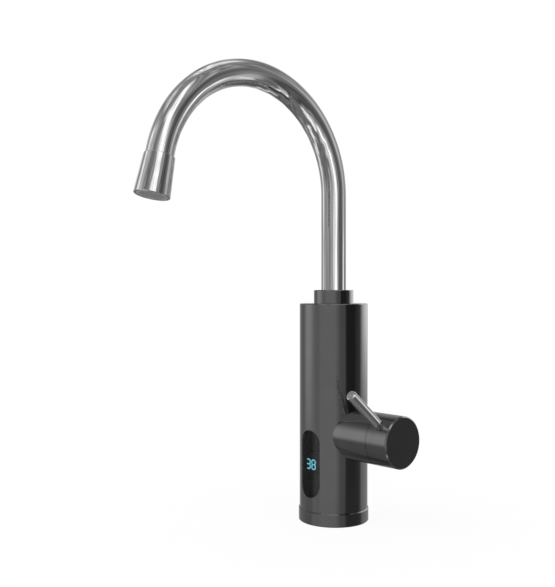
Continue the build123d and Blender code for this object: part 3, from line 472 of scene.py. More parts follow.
def spun(name, outline_at, sides, material, place=Matrix(), copies=(Matrix(),), sharp=40):
    """A closed mesh turned about Z from an outline in millimetres that may change with the angle.

    Each point keeps where it stood when it was turned, for the marks that turning and polishing leave.
    """
    columns = []
    for i in range(sides + 1):
        a = math.tau * i / sides
        columns.append([(r * math.cos(a), r * math.sin(a), z) for r, z in outline_at(a)])
    rows = len(columns[0])
    mesh = bmesh.new()
    turned = mesh.verts.layers.float_vector.new("turned")
    for copy in copies:
        grid = [[mesh.verts.new(place @ copy @ Vector(p) * MM) for p in column] for column in columns]
        for made, column in zip(grid, columns):
            for vert, p in zip(made, column):
                vert[turned] = p
        for i in range(sides):
            for j in range(rows):
                k = (j + 1) % rows
                mesh.faces.new((grid[i][j], grid[i + 1][j], grid[i + 1][k], grid[i][k]))
    bmesh.ops.remove_doubles(mesh, verts=mesh.verts, dist=2e-7)
    bmesh.ops.dissolve_degenerate(mesh, edges=mesh.edges, dist=2e-7)
    return shown(name, mesh, material, sharp)


def shown(name, mesh, material, sharp=40):
    """Turns a bmesh into a smooth object that keeps its sharp edges."""
    bmesh.ops.recalc_face_normals(mesh, faces=mesh.faces)
    thing = new_object(name, [], [], material)
    mesh.to_mesh(thing.data)
    mesh.free()
    thing.data.shade_smooth()
    thing.data.set_sharp_from_angle(angle=math.radians(sharp))
    return thing


def thread_radius(radius, depth, pitch, low, high, angle, height, inside=False):
    """The radius of a thread's flank at a height, with a lead-in at both ends."""
    phase = (height / pitch - angle / math.tau) % 1
    fall = min(1, max(0, (abs(phase - 0.5) * 8 - 1) / 2))
    lead = min(height - low, high - height)
    if inside:
        return max(radius - depth * (1 - fall), radius - lead)
    return min(radius - depth * fall, radius - depth + lead)


def thread_points(radius, depth, pitch, low, high, angle, inside=False):
    """A thread's outline from low to high at one angle; both ends are cut square."""
    points = []
    turns = math.ceil((high - low) / pitch) + 2
    for k in range(-1, turns):
        for phase in (0.125, 0.375, 0.625, 0.875):
            height = low + pitch * (k + phase + angle / math.tau) - low % pitch
            height = min(high, max(low, height))
            points.append((thread_radius(radius, depth, pitch, low, high, angle, height, inside), height))
    return points


def dress(material, *names):
    """Gives CAD nodes, which keep their shape, their finish."""
    for name in names:
        for place in nodes[name].material_slots:
            place.material = material


def stand_for(thing, node, body):
    """A piece of the scene takes a CAD node's place and body, and the node is hidden."""
    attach(thing, body)
    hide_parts(node)


def span(node, axis):
    """A CAD node's lowest and highest place along an axis, in millimetres."""
    low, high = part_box(node)
    return low[axis] / MM, high[axis] / MM


def shank_outline(angle):
    """Bore, inlet thread, relief, long thread and the flange with its flat, from the bottom up."""
    bottom, top = span("inlet_shank", 2)
    flange_r, flat = span("inlet_shank", 0)[1], span("inlet_shank", 1)[1]
    flange_r = min(flange_r, flat / max(math.sin(angle), 0.01))
    inlet_end = bottom + INLET_THREAD
    long_start = inlet_end + SHANK_RELIEF
    root = SHANK_R - THREAD_DEPTH
    return [
        (SHANK_BORE_R, bottom),
        *thread_points(SHANK_R, THREAD_DEPTH, THREAD_PITCH, bottom, inlet_end, angle),
        (root, inlet_end),
        (root, long_start),
        *thread_points(SHANK_R, THREAD_DEPTH, THREAD_PITCH, long_start, 0, angle),
        (root, 0),
        (SHANK_R, 1.2),
        (SHANK_R, top - SHANK_FLANGE),
        (flange_r, top - SHANK_FLANGE),
        (flange_r, top),
        (SHANK_BORE_R, top),
    ]


brass = finish("brass", (0.6, 0.42, 0.18), (0.52, 0.35, 0.14), 1, 0.26, 0.1, 90, (120, 120, 5000), 0.004)
shank = spun("inlet_shank_threaded", shank_outline, THREAD_SIDES, brass)
stand_for(shank, "inlet_shank", "body")


# Base ring, gasket and cord bush
# The ring that the body stands on is turned and coated like the body. A flat rubber gasket fills
# its recess, and a rubber bush lines the hole where the mains cord comes in; no cord is shown.
CORD_HOLE_R = 3.5
BUSH_LIP = 0.5
BUSH_LIP_HEIGHT = 2
BUSH_EDGE = 0.3
gunmetal = finish(
    "gunmetal", (0.18, 0.18, 0.184), (0.168, 0.168, 0.173), 1, 0.13, 0.05, 60, (900, 900, 300), 0.0004
)
rubber = finish(
    "rubber", (0.028, 0.028, 0.029), (0.045, 0.045, 0.045), 0, 0.62, 0.2, 220, (2600, 2600, 2600), 0.012
)
dress(gunmetal, "base_ring")
dress(rubber, "base_gasket")


def bush_outline(angle):
    """The bush's sleeve and lip, with rounded rims."""
    bottom, top = span("cord_grommet", 2)
    lip_r = span("cord_grommet", 0)[1]
    sleeve_r = lip_r - BUSH_LIP
    return rounded([
        (CORD_HOLE_R, bottom, BUSH_EDGE),
        (sleeve_r, bottom, BUSH_EDGE),
        (sleeve_r, top - BUSH_LIP_HEIGHT, 0),
        (lip_r, top - BUSH_LIP_HEIGHT, 0),
        (lip_r, top, BUSH_EDGE),
        (CORD_HOLE_R, top, BUSH_EDGE),
    ])


bush = spun("cord_bush", bush_outline, 64, rubber, Matrix.Translation((0, sum(span("cord_grommet", 1)) / 2, 0)))
stand_for(bush, "cord_grommet", "body")


# Base screws
# Three stainless cheese-head screws with a hexagon socket come up from below through the ring
# beside the shank into the valve block, and close on the gasket's level.
BASE_SCREW_CIRCLE = 18.1
BASE_SCREW_HEAD = 1.9
stainless = finish(
    "stainless", (0.56, 0.56, 0.55), (0.48, 0.48, 0.47), 1, 0.3, 0.1, 160, (200, 200, 3000), 0.003
)


def hexagon_radius(flats, angle):
    """Distance from a hexagon's middle to its side in a direction."""
    return flats / 2 / math.cos((angle + math.pi / 6) % (math.pi / 3) - math.pi / 6)


def around(count, radius, start):
    """Places evenly spaced on a circle about Z, in millimetres."""
    turns = [math.radians(start + 360 * i / count) for i in range(count)]
    return [Matrix.Translation((radius * math.cos(a), radius * math.sin(a), 0)) for a in turns]


def socket_screw(head_r, head, shank_r, length, pitch, socket, seat, way):
    """Outline of a socket-head screw whose head's seat is at a height and whose tip points up, 1, or down, -1."""
    depth = 0.6 * pitch

    def outline(angle):
        hexagon = hexagon_radius(socket, angle)
        points = [
            (0, -0.35 * head),
            (hexagon, -0.35 * head),
            (hexagon, -head + 0.12),
            (hexagon + 0.12, -head),
            (head_r - 0.2, -head),
            (head_r, -head + 0.2),
            (head_r, -0.1),
            (head_r - 0.1, 0),
            *thread_points(shank_r, depth, pitch, 0, length, angle),
            (0, length),
        ]
        return [(r, seat + z * way) for r, z in points]

    return outline


seat = span("base_screws", 2)[0] + BASE_SCREW_HEAD
outline = socket_screw(3.5, BASE_SCREW_HEAD, 2.0, 10, 0.7, 3.0, seat, 1)
base_screws = spun("base_screws_threaded", outline, 48, stainless, copies=around(3, BASE_SCREW_CIRCLE, -90))
stand_for(base_screws, "base_screws", "body")


# Deck washer, clamp washer and lock nut
# Under the worktop a rubber and a steel horseshoe slide round the shank, open at the back for
# the cord, and the brass nut draws them up.
NUT_FLATS = 27
NUT_FACE = 0.96  # of the flats
NUT_BEVEL = 0.577
NUT_PLAY = 0.05
dress(rubber, "deck_washer")
dress(stainless, "clamp_washer")


def nut_outline(angle):
    """Hexagon with bevelled corners and an inside thread."""
    bottom, top = span("lock_nut", 2)
    side = hexagon_radius(NUT_FLATS, angle + math.pi / 6)
    face_r = NUT_FLATS / 2 * NUT_FACE
    drop = (side - face_r) * NUT_BEVEL
    thread = thread_points(SHANK_R + NUT_PLAY, THREAD_DEPTH, THREAD_PITCH, bottom, top, angle, True)
    return [(face_r, bottom), (side, bottom + drop), (side, top - drop), (face_r, top), *reversed(thread)]


lock_nut = spun("lock_nut_threaded", nut_outline, THREAD_SIDES, brass)
stand_for(lock_nut, "lock_nut", "body")


# Valve block, flow magnet and reed switch
# The brass block is machined from a forging. The water lifts the dark magnet in its bore, and
# the reed switch on the column sees it.
forged_brass = finish(
    "forged_brass", (0.58, 0.41, 0.18), (0.47, 0.32, 0.13), 1, 0.3, 0.14, 70, (1400, 1400, 1400), 0.006
)
ferrite = finish(
    "ferrite", (0.07, 0.07, 0.075), (0.11, 0.11, 0.11), 0, 0.45, 0.15, 700, (1500, 1500, 1500), 0.006
)
black_plastic = finish(
    "black_plastic", (0.02, 0.02, 0.022), (0.03, 0.03, 0.03), 0, 0.42, 0.12, 300, (2200, 2200, 2200), 0.006
)
dress(forged_brass, "valve_block")
dress(ferrite, "flow_piston")
dress(black_plastic, "reed_switch")


# Ceramic disc cartridge
# Along the barrel: a rubber port seal, two lapped ceramic discs in an acetal cup, a brass stem
# that turns the outer disc, a round rubber ring on the stem, and the brass sleeve and nut.
BARREL_HEIGHT = 71.3
STEM_RING_R = 6.79
STEM_RING_SECTION = 0.66
ceramic = finish(
    "ceramic", (0.8, 0.79, 0.75), (0.74, 0.72, 0.68), 0, 0.18, 0.12, 500, (3000, 3000, 3000), 0.002
)
white_plastic = finish(
    "white_plastic", (0.78, 0.78, 0.75), (0.72, 0.72, 0.69), 0, 0.38, 0.1, 200, (1800, 1800, 1800), 0.005
)
turned_brass = finish(
    "turned_brass", (0.6, 0.42, 0.18), (0.52, 0.35, 0.14), 1, 0.24, 0.1, 90, (5000, 120, 120), 0.004
)
dress(rubber, "port_seal")
dress(ceramic, "fixed_disc", "moving_disc")
dress(white_plastic, "cartridge_body")
dress(turned_brass, "cartridge_sleeve", "cartridge_stem", "cartridge_nut")
along_barrel = Matrix(((0, 0, 1, 0), (1, 0, 0, 0), (0, 1, 0, BARREL_HEIGHT), (0, 0, 0, 1)))


def round_section(middle_r, height, half_width, half_height):
    """Outline of a rubber ring with a round or oval section."""
    steps = [math.tau * k / 20 for k in range(20)]
    return [(middle_r + half_width * math.cos(a), height + half_height * math.sin(a)) for a in steps]


low, high = span("stem_seal", 0)
half = (high - low) / 2
section = round_section(STEM_RING_R, (low + high) / 2, STEM_RING_SECTION, half)
stem_ring = spun("stem_ring", lambda angle: section, 72, rubber, along_barrel)
stand_for(stem_ring, "stem_seal", "body")


# Heating chamber
# A brass bell over a ceramic tube heater, sealed by a flat gasket and held by four screws. Its
# neck comes up through the body's top. A thermostat and a probe sit on its wall.
CHAMBER_SCREW_CIRCLE = 21.5
CHAMBER_SCREW_HEAD = 2.2
heater_ceramic = finish(
    "heater_ceramic", (0.82, 0.81, 0.77), (0.3, 0.27, 0.25), 0, 0.4, 0.1, 240, (300, 300, 900), 0.01
)
dress(brass, "heating_chamber", "temperature_sensor")
dress(rubber, "chamber_gasket")
dress(heater_ceramic, "heating_element")
dress(black_plastic, "thermal_cutout")
seat = span("chamber_screws", 2)[1] - CHAMBER_SCREW_HEAD
outline = socket_screw(2.75, CHAMBER_SCREW_HEAD, 1.5, 7, 0.5, 2.5, seat, -1)
places = around(4, CHAMBER_SCREW_CIRCLE, 45)
chamber_screws = spun("chamber_screws_threaded", outline, 48, stainless, copies=places)
stand_for(chamber_screws, "chamber_screws", "body")


# Control board, its posts, power switch and terminals
# A lacquered board stands across the back of the body on two brass posts. The power switch lies
# against the cold column, and the mains terminals are at the board's foot.
def board_material():
    """Green lacquer over copper tracks, with tinned pads."""
    material, tree, out = new_material("circuit_board")
    shader = tree.nodes.new("ShaderNodeBsdfPrincipled")
    place = tree.nodes.new("ShaderNodeTexCoord")
    tracks = tree.nodes.new("ShaderNodeTexVoronoi")
    tracks.distance = "CHEBYCHEV"
    tracks.feature = "DISTANCE_TO_EDGE"
    tracks.inputs["Scale"].default_value = 380
    tree.links.new(place.outputs["Object"], tracks.inputs["Vector"])
    track = tree.nodes.new("ShaderNodeMapRange")
    track.inputs["From Min"].default_value = 0.1
    track.inputs["From Max"].default_value = 0.14
    tree.links.new(tracks.outputs["Distance"], track.inputs["Value"])
    lacquer = tree.nodes.new("ShaderNodeMix")
    lacquer.data_type = "RGBA"
    lacquer.inputs["A"].default_value = (0.012, 0.1, 0.035, 1)
    lacquer.inputs["B"].default_value = (0.03, 0.2, 0.075, 1)
    tree.links.new(track.outputs[0], lacquer.inputs["Factor"])
    pads = tree.nodes.new("ShaderNodeTexVoronoi")
    pads.inputs["Scale"].default_value = 300
    pads.inputs["Randomness"].default_value = 0.35
    tree.links.new(place.outputs["Object"], pads.inputs["Vector"])
    pad = tree.nodes.new("ShaderNodeMath")
    pad.operation = "LESS_THAN"
    pad.inputs[1].default_value = 0.22
    tree.links.new(pads.outputs["Distance"], pad.inputs[0])
    colour = tree.nodes.new("ShaderNodeMix")
    colour.data_type = "RGBA"
    colour.inputs["B"].default_value = (0.6, 0.58, 0.52, 1)
    tree.links.new(pad.outputs[0], colour.inputs["Factor"])
    tree.links.new(lacquer.outputs["Result"], colour.inputs["A"])
    tree.links.new(colour.outputs["Result"], shader.inputs["Base Color"])
    tree.links.new(pad.outputs[0], shader.inputs["Metallic"])
    shader.inputs["Roughness"].default_value = 0.32
    raised = tree.nodes.new("ShaderNodeBump")
    raised.inputs["Distance"].default_value = 0.03 * MM
    tree.links.new(track.outputs[0], raised.inputs["Height"])
    tree.links.new(raised.outputs[0], shader.inputs["Normal"])
    tree.links.new(shader.outputs[0], out.inputs["Surface"])
    return material


circuit_board = board_material()
grey_plastic = finish(
    "grey_plastic", (0.24, 0.24, 0.245), (0.2, 0.2, 0.205), 0, 0.45, 0.1, 260, (2000, 2000, 2000), 0.006
)
dress(circuit_board, "control_board")
dress(brass, "board_posts")
dress(black_plastic, "triac")
dress(grey_plastic, "terminal_block")


# Display
# A small board on two arms carries the two-digit module: a black block whose lit strokes glow
# pale blue through the smoked window.
DIGIT_Z = 46.7
DIGIT_WIDTH = 4.7
DIGIT_HEIGHT = 8.2
DIGIT_GAP = 1.0
STROKE = 1.0
STROKE_GAP = 0.12
STROKE_RISE = 0.2
MODULE_ROUND = 0.4
DIGIT_BLUE = (0.15, 0.5, 0.62)
WINDOW_CLEAR = 0.45
grey_board = finish(
    "grey_board", (0.1, 0.1, 0.1), (0.08, 0.08, 0.08), 0, 0.4, 0.1, 380, (800, 800, 800), 0.01
)
dress(grey_board, "display_board")
dress(black_plastic, "display_bracket")


def glow_material():
    """Lit strokes, a little brighter in scattered patches, as seen through the window's tint."""
    material, tree, out = new_material("lit_strokes")
    shader = tree.nodes.new("ShaderNodeBsdfPrincipled")
    shader.inputs["Base Color"].default_value = (0.02, 0.03, 0.03, 1)
    shader.inputs["Roughness"].default_value = 0.4
    place = tree.nodes.new("ShaderNodeTexCoord")
    cloud = tree.nodes.new("ShaderNodeTexNoise")
    cloud.inputs["Scale"].default_value = 500
    tree.links.new(place.outputs["Object"], cloud.inputs["Vector"])
    colour = tree.nodes.new("ShaderNodeMix")
    colour.data_type = "RGBA"
    colour.inputs["A"].default_value = (*DIGIT_BLUE, 1)
    colour.inputs["B"].default_value = (*[1.25 * part for part in DIGIT_BLUE], 1)
    tree.links.new(cloud.outputs["Fac"], colour.inputs["Factor"])
    tree.links.new(colour.outputs["Result"], shader.inputs["Emission Color"])
    shader.inputs["Emission Strength"].default_value = 0.9 / WINDOW_CLEAR**2
    tree.links.new(shader.outputs[0], out.inputs["Surface"])
    return material


def stroke_points(across, height, length, upright):
    """A stroke's outline, pointed at both ends, about its middle."""
    half, reach = STROKE / 2, length / 2 - STROKE_GAP
    points = [(-reach, 0), (-reach + half, half), (reach - half, half)]
    points += [(reach, 0), (reach - half, -half), (-reach + half, -half)]
    if upright:
        points = [(y, x) for x, y in points]
    return [(across + x, height + y) for x, y in points]


def digit_strokes(lit):
    """Outlines of the lit strokes of one digit."""
    wide, tall = DIGIT_WIDTH - STROKE, (DIGIT_HEIGHT - STROKE) / 2
    places = {
        "top": (0, tall, wide, False),
        "middle": (0, 0, wide, False),
        "bottom": (0, -tall, wide, False),
        "upper_left": (-wide / 2, tall / 2, tall, True),
        "upper_right": (wide / 2, tall / 2, tall, True),
        "lower_left": (-wide / 2, -tall / 2, tall, True),
        "lower_right": (wide / 2, -tall / 2, tall, True),
    }
    return [stroke_points(*places[name]) for name in lit]


def prism(mesh, outline, back, front):
    """Adds an outline in the front view, from one depth to another, to a bmesh."""
    behind = [mesh.verts.new(Vector((x, back, z)) * MM) for x, z in outline]
    before = [mesh.verts.new(Vector((x, front, z)) * MM) for x, z in outline]
    mesh.faces.new(behind)
    mesh.faces.new(reversed(before))
    for i in range(len(outline)):
        k = (i + 1) % len(outline)
        mesh.faces.new((behind[i], before[i], before[k], behind[k]))


left, right = span("digit_module", 0)
low, high = span("digit_module", 2)
front, back = span("digit_module", 1)
face = front + STROKE_RISE
three = ("top", "middle", "bottom", "upper_right", "lower_right")
eight = (*three, "upper_left", "lower_left")
mesh = bmesh.new()
for side, lit in ((-1, three), (1, eight)):
    middle = (left + right) / 2 + side * (DIGIT_WIDTH + DIGIT_GAP) / 2
    for points in digit_strokes(lit):
        prism(mesh, [(middle + x, DIGIT_Z + z) for x, z in points], face + 0.1, front)
strokes = shown("lit_digits", mesh, glow_material())
stand_for(strokes, "digit_module", "body")

mesh = bmesh.new()
block = [(left, low), (right, low), (right, high), (left, high)]
prism(mesh, block, back, face)
bmesh.ops.bevel(mesh, geom=mesh.edges[:], offset=MODULE_ROUND * MM, segments=3, affect="EDGES")
module = shown("digit_block", mesh, black_plastic)
stand_for(module, "digit_module", "body")


# Housing
# The body shell with the fixed half of the barrel, one coated metal tube closed at the top. The
# CAD shape is kept.
dress(gunmetal, "housing")


# Window
# A smoked acrylic lens, pushed in from behind and flush with the body's curve, hazy black with
# the digits showing through.
def window_material():
    """Dark see-through plastic with a soft skin, with a painted lighter band towards its right edge where light
    falls.
    """
    material, tree, out = new_material("smoked_window")
    shader = tree.nodes.new("ShaderNodeBsdfPrincipled")
    look = tree.nodes.new("ShaderNodeGroup")
    look.node_tree = surface_finish
    look.inputs["Colour"].default_value = (0.013, 0.013, 0.014, 1)
    look.inputs["Patch Colour"].default_value = (0.016, 0.016, 0.017, 1)
    look.inputs["Patches per Metre"].default_value = 120
    look.inputs["Roughness"].default_value = 0.3
    look.inputs["Roughness Spread"].default_value = 0.08
    look.inputs["Grain"].default_value = (900, 900, 900)
    place = tree.nodes.new("ShaderNodeTexCoord")
    across = tree.nodes.new("ShaderNodeSeparateXYZ")
    tree.links.new(place.outputs["Object"], across.inputs[0])
    # Painted light: the lens's colour turns lighter towards its right edge, standing in for light that falls on
    # that side.
    painted_light_side = tree.nodes.new("ShaderNodeMapRange")
    painted_light_side.interpolation_type = "SMOOTHSTEP"
    painted_light_side.inputs["From Min"].default_value = 2.5 * MM
    painted_light_side.inputs["From Max"].default_value = 6.5 * MM
    tree.links.new(across.outputs["X"], painted_light_side.inputs["Value"])
    colour = tree.nodes.new("ShaderNodeMix")
    colour.data_type = "RGBA"
    # The lighter colour of the painted light on the lens's right side.
    colour.inputs["B"].default_value = (0.055, 0.055, 0.056, 1)
    tree.links.new(painted_light_side.outputs[0], colour.inputs["Factor"])
    tree.links.new(look.outputs["Colour"], colour.inputs["A"])
    tree.links.new(colour.outputs["Result"], shader.inputs["Base Color"])
    tree.links.new(look.outputs["Roughness"], shader.inputs["Roughness"])
    shader.inputs["IOR"].default_value = 1.2
    shader.inputs["Alpha"].default_value = 1 - WINDOW_CLEAR
    tree.links.new(shader.outputs[0], out.inputs["Surface"])
    return material


dress(window_material(), "display_lens")


# Handle
# The outer half of the barrel turns on an acetal ring in the housing's mouth. The chrome lever is
# screwed into its hub, and a grub screw on the far side holds the cap to the stem.
LEVER_LEAN = math.radians(50)
LEVER_X = 63.25
LEVER_R = 3.9
LEVER_BEVEL = 0.6
LEVER_ROUND = 0.12
LEVER_FOOT_ROUND = 0.3
LEVER_THREAD_R = 2.5
LEVER_THREAD_LENGTH = 13.0
LEVER_THREAD_DEPTH = 0.5
LEVER_THREAD_PITCH = 0.8
LEVER_SEAT = 19.0
LEVER_TIP = 61.0
GRUB_X = 60.3
GRUB_R = 2.0
GRUB_TIP = 3.75
GRUB_END = 7.75
GRUB_SOCKET = 2.0
POLISH_LINES = 0.36  # per millimetre across a piece
POLISH_LINE_RUN = 0.006
POLISH_RELIEF = 0.16


def chrome_material():
    """Bright plating over a surface that was polished lengthwise, with the faint lines that it leaves."""
    material, tree, out = new_material("chrome")
    shader = tree.nodes.new("ShaderNodeBsdfPrincipled")
    shader.inputs["Metallic"].default_value = 1
    look = tree.nodes.new("ShaderNodeGroup")
    look.node_tree = surface_finish
    look.inputs["Colour"].default_value = (0.5, 0.5, 0.502, 1)
    look.inputs["Patch Colour"].default_value = (0.47, 0.47, 0.472, 1)
    look.inputs["Patches per Metre"].default_value = 45
    look.inputs["Roughness"].default_value = 0.035
    look.inputs["Roughness Spread"].default_value = 0.03
    look.inputs["Grain"].default_value = (60, 60, 60)
    tree.links.new(look.outputs["Colour"], shader.inputs["Base Color"])
    tree.links.new(look.outputs["Roughness"], shader.inputs["Roughness"])
    place = tree.nodes.new("ShaderNodeAttribute")
    place.attribute_name = "turned"
    stretched = tree.nodes.new("ShaderNodeVectorMath")
    stretched.operation = "MULTIPLY"
    stretched.inputs[1].default_value = (POLISH_LINES, POLISH_LINES, POLISH_LINE_RUN)
    tree.links.new(place.outputs["Vector"], stretched.inputs[0])
    lines = tree.nodes.new("ShaderNodeTexNoise")
    lines.inputs["Scale"].default_value = 1
    lines.inputs["Detail"].default_value = 2.5
    lines.inputs["Roughness"].default_value = 0.6
    tree.links.new(stretched.outputs["Vector"], lines.inputs["Vector"])
    bump = tree.nodes.new("ShaderNodeBump")
    bump.inputs["Strength"].default_value = 1
    bump.inputs["Distance"].default_value = POLISH_RELIEF * MM
    tree.links.new(lines.outputs["Fac"], bump.inputs["Height"])
    tree.links.new(bump.outputs[0], shader.inputs["Normal"])
    tree.links.new(shader.outputs[0], out.inputs["Surface"])
    return material


chrome = chrome_material()
dress(white_plastic, "bearing_ring")
dress(gunmetal, "handle_cap")
lever_way = Vector((0, -math.sin(LEVER_LEAN), math.cos(LEVER_LEAN)))


def cross_frame(x, way):
    """A frame on the barrel's axis whose Z points along a way square to the barrel."""
    side = Vector((1, 0, 0))
    up = way.cross(side)
    return Matrix.Translation((x, 0, BARREL_HEIGHT)) @ Matrix((side, up, way)).transposed().to_4x4()


def lever_outline(angle):
    """Threaded foot and a round pin with a bevelled end."""
    foot = LEVER_SEAT - LEVER_THREAD_LENGTH
    return [
        (0, foot),
        *thread_points(LEVER_THREAD_R, LEVER_THREAD_DEPTH, LEVER_THREAD_PITCH, foot, LEVER_SEAT, angle),
        *rounded([
            (0, LEVER_SEAT, 0),
            (LEVER_R, LEVER_SEAT, LEVER_FOOT_ROUND),
            (LEVER_R, LEVER_TIP - LEVER_BEVEL, LEVER_ROUND),
            (LEVER_R - LEVER_BEVEL, LEVER_TIP, LEVER_ROUND),
            (0, LEVER_TIP, 0),
        ])[1:],
    ]


lever = spun("lever_pin", lever_outline, 96, chrome, cross_frame(LEVER_X, lever_way))
stand_for(lever, "lever", "handle")
polish(lever)


def grub_outline(angle):
    """Grub screw with a hexagon socket in its outer end."""
    hexagon = hexagon_radius(GRUB_SOCKET, angle)
    return [
        (0, GRUB_TIP),
        *thread_points(GRUB_R, 0.4, 0.7, GRUB_TIP, GRUB_END, angle),
        (hexagon + 0.1, GRUB_END),
        (hexagon, GRUB_END - 0.1),
        (hexagon, GRUB_END - GRUB_SOCKET),
        (0, GRUB_END - GRUB_SOCKET),
    ]


grub = spun("grub_screw", grub_outline, 48, stainless, cross_frame(GRUB_X, -lever_way))
stand_for(grub, "set_screw", "handle")


# Collar and swivel
# The coated collar screws on the chamber's neck and keeps the spout in. Inside it an acetal ring
# lies on the brass tailpiece, whose spigot is sealed by two rubber rings.
COLLAR_R = 16.0
COLLAR_BEVEL = 0.5
COLLAR_ROUND = 0.15
COLLAR_THREAD_R = 13.05
COLLAR_LIP_R = 10.3
COLLAR_LIP = 3.0
SEAL_R = 0.72  # of the ring's round section
SEAL_SPACING = 4.0
dress(white_plastic, "slip_ring")
dress(brass, "tailpiece")


def collar_outline(angle):
    """Plain collar with a bevelled top edge and a lip over the slip ring."""
    bottom, top = span("spout_nut", 2)
    return rounded([
        (COLLAR_THREAD_R, bottom, 0),
        (COLLAR_R, bottom, 0.05),
        (COLLAR_R, top - COLLAR_BEVEL, COLLAR_ROUND),
        (COLLAR_R - COLLAR_BEVEL, top, COLLAR_ROUND),
        (COLLAR_LIP_R, top, COLLAR_ROUND),
        (COLLAR_LIP_R, top - COLLAR_LIP, 0),
        (COLLAR_THREAD_R, top - COLLAR_LIP, 0),
    ])


collar = spun("collar", collar_outline, 192, gunmetal)
stand_for(collar, "spout_nut", "body")
low = span("swivel_rings", 2)[0]
middle_r = span("swivel_rings", 0)[1] - SEAL_R
section = round_section(middle_r, low + 1.2, SEAL_R, SEAL_R)
both_seals = [Matrix(), Matrix.Translation((0, 0, SEAL_SPACING))]
rings = spun("swivel_seals", lambda angle: section, 96, rubber, copies=both_seals)
stand_for(rings, "swivel_rings", "spout")


# Spout
# One brass tube bent to a swan neck, polished and chromed. The bend keeps the faint waves that
# bending leaves on its inner side.
TUBE_R = 10.0
TUBE_WALL = 1.0
BEND_R = 85.0
BEND_HEIGHT = 262.0
BEND_ANGLE = math.radians(167.2)
TUBE_END = 8.0
TUBE_SIDES = 144
BEND_RIPPLE = 0.07


def tube_stations():
    """The tube's middle from its foot up, with the way round the bend in radians and the length so far."""
    bottom = span("spout_tube", 2)[0]
    stations = []
    for height in (bottom, bottom + 0.3, bottom + 4, 200, 220, 240, 250, 256, 260):
        stations.append((Vector((0, 0, height)), 0, height))
    for i in range(241):
        a = BEND_ANGLE * i / 240
        middle = Vector((0, BEND_R * (math.cos(a) - 1), BEND_HEIGHT + BEND_R * math.sin(a)))
        stations.append((middle, a, BEND_HEIGHT + BEND_R * a))
    way = Vector((0, -math.sin(BEND_ANGLE), math.cos(BEND_ANGLE)))
    last, a, length = stations[-1]
    for reach in (2, 4, 6, TUBE_END):
        stations.append((last + way * reach, a, length + reach))
    return stations


def bend_wave(a, round_tube):
    """Height of the bend's faint waves, in millimetres, on the side that faces the bend's middle."""
    inner = max(0, -math.cos(round_tube) - 0.35) / 0.65
    reach = soft_step(0.15, 0.5, a) * (1 - soft_step(1.4, 1.9, a)) + 0.5 * soft_step(2.1, 2.4, a)
    wave = math.sin(a * 40 + 6 * round_tube) + 0.6 * math.sin(a * 26 - 3 * round_tube)
    return BEND_RIPPLE * inner * reach * wave


def make_tube():
    """The tube's outside and bore as one closed mesh, whose points keep their place on the straight tube."""
    mesh = bmesh.new()
    turned = mesh.verts.layers.float_vector.new("turned")
    rows = []
    stations = tube_stations()
    for bore, run in ((False, stations), (True, reversed(stations))):
        for middle, a, length in run:
            row = []
            for i in range(TUBE_SIDES):
                t = math.tau * i / TUBE_SIDES
                radius = TUBE_R - TUBE_WALL if bore else TUBE_R + bend_wave(a, t)
                way = Vector((math.sin(t), math.cos(t) * math.cos(a), math.cos(t) * math.sin(a)))
                vert = mesh.verts.new((middle + way * radius) * MM)
                vert[turned] = (radius * math.sin(t), radius * math.cos(t), length)
                row.append(vert)
            rows.append(row)
    for j in range(len(rows)):
        after = rows[(j + 1) % len(rows)]
        for i in range(TUBE_SIDES):
            k = (i + 1) % TUBE_SIDES
            mesh.faces.new((rows[j][i], rows[j][k], after[k], after[i]))
    return shown("swan_neck", mesh, chrome)


tube = make_tube()
stand_for(tube, "spout_tube", "spout")
polish(tube)


# Nozzle and aerator
# A flared chrome sleeve is soldered on the tube's end. The aerator screws into its mouth: a
# plastic ring and comb, a rubber washer and a steel screen.
NOZZLE_TOP = 3.1
NOZZLE_MOUTH = 31.5
NOZZLE_TOP_R = 11.0
NOZZLE_MOUTH_R = 12.7
TUBE_SOCKET_R = 10.05
TUBE_SOCKET_END = 8
LEDGE_R = 9.0
LEDGE_END = 10
AERATOR_THREAD_R = 11.0
COMB_R = 9.7
COMB_START = 28.2
COMB_FACE = 31.2
CELL_PITCH = 1.5
CELL_FLATS = 1.05
aerator_grey = finish(
    "aerator_grey", (0.3, 0.3, 0.3), (0.27, 0.27, 0.27), 0, 0.5, 0.1, 260, (2000, 2000, 2000), 0.006
)
outflow_way = Vector((0, -math.sin(BEND_ANGLE), math.cos(BEND_ANGLE)))
outflow_start = Vector((0, BEND_R * (math.cos(BEND_ANGLE) - 1), BEND_HEIGHT + BEND_R * math.sin(BEND_ANGLE)))
side = Vector((1, 0, 0))
outflow_turn = Matrix((side, outflow_way.cross(side), outflow_way)).transposed().to_4x4()
outflow = Matrix.Translation(outflow_start) @ outflow_turn


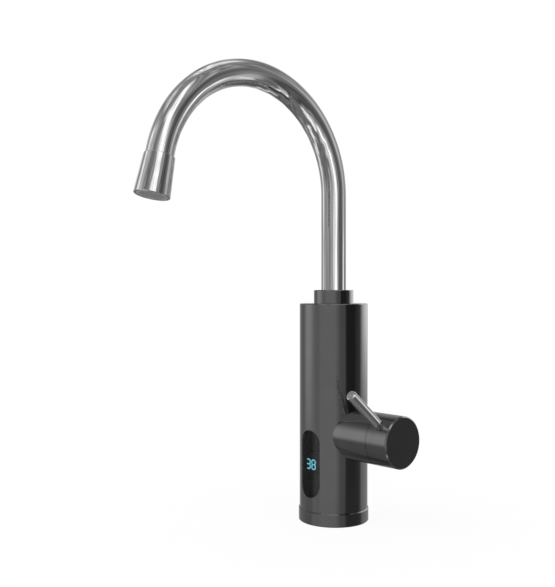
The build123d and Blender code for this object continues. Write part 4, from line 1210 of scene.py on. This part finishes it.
def nozzle_outline(angle):
    """Sleeve with a socket for the tube, a ledge, and a threaded mouth."""
    return rounded([
        (TUBE_SOCKET_R, NOZZLE_TOP, 0),
        (NOZZLE_TOP_R, NOZZLE_TOP, 0.5),
        (NOZZLE_MOUTH_R, NOZZLE_MOUTH - 0.3, 0.12),
        (NOZZLE_MOUTH_R - 0.35, NOZZLE_MOUTH, 0.12),
        (AERATOR_THREAD_R, NOZZLE_MOUTH, 0.1),
        (AERATOR_THREAD_R, LEDGE_END, 0),
        (LEDGE_R, LEDGE_END, 0),
        (LEDGE_R, TUBE_SOCKET_END, 0),
        (TUBE_SOCKET_R, TUBE_SOCKET_END, 0),
    ])


nozzle = spun("nozzle", nozzle_outline, 192, chrome, outflow)
stand_for(nozzle, "nozzle_sleeve", "spout")
polish(nozzle)
dress(aerator_grey, "aerator_housing")


def comb_cells():
    """Outlines of the hexagonal cells that fit on the comb."""
    cells = []
    reach = round(COMB_R / CELL_PITCH) + 1
    corner = CELL_FLATS / math.sqrt(3)
    for row in range(-reach, reach + 1):
        for column in range(-reach, reach + 1):
            x, y = (column + row % 2 / 2) * CELL_PITCH, row * CELL_PITCH * math.sqrt(3) / 2
            if math.hypot(x, y) + corner < COMB_R - 0.5:
                turns = [math.radians(30 + 60 * k) for k in range(6)]
                cells.append([(x + corner * math.cos(a), y + corner * math.sin(a)) for a in turns])
    return cells


def make_comb():
    """A round plate with hexagonal cells right through it."""
    rim = [(COMB_R * math.cos(math.tau * k / 96), COMB_R * math.sin(math.tau * k / 96)) for k in range(96)]
    outlines = [rim, *comb_cells()]
    mesh = bmesh.new()
    sides = []
    for height in (COMB_FACE, COMB_START):
        rings = [[mesh.verts.new((x, y, height)) for x, y in outline] for outline in outlines]
        edges = [mesh.edges.new((ring[k - 1], ring[k])) for ring in rings for k in range(len(ring))]
        bmesh.ops.triangle_fill(mesh, use_beauty=True, edges=edges)
        sides.append(rings)
    for face, back in zip(*sides):
        for k in range(len(face)):
            mesh.faces.new((face[k - 1], face[k], back[k], back[k - 1]))
    bmesh.ops.transform(mesh, matrix=Matrix.Scale(MM, 4) @ outflow, verts=mesh.verts)
    return shown("aerator_comb", mesh, aerator_grey)


comb = make_comb()
stand_for(comb, "aerator_insert", "spout")
dress(rubber, "aerator_washer")
dress(stainless, "aerator_screen")
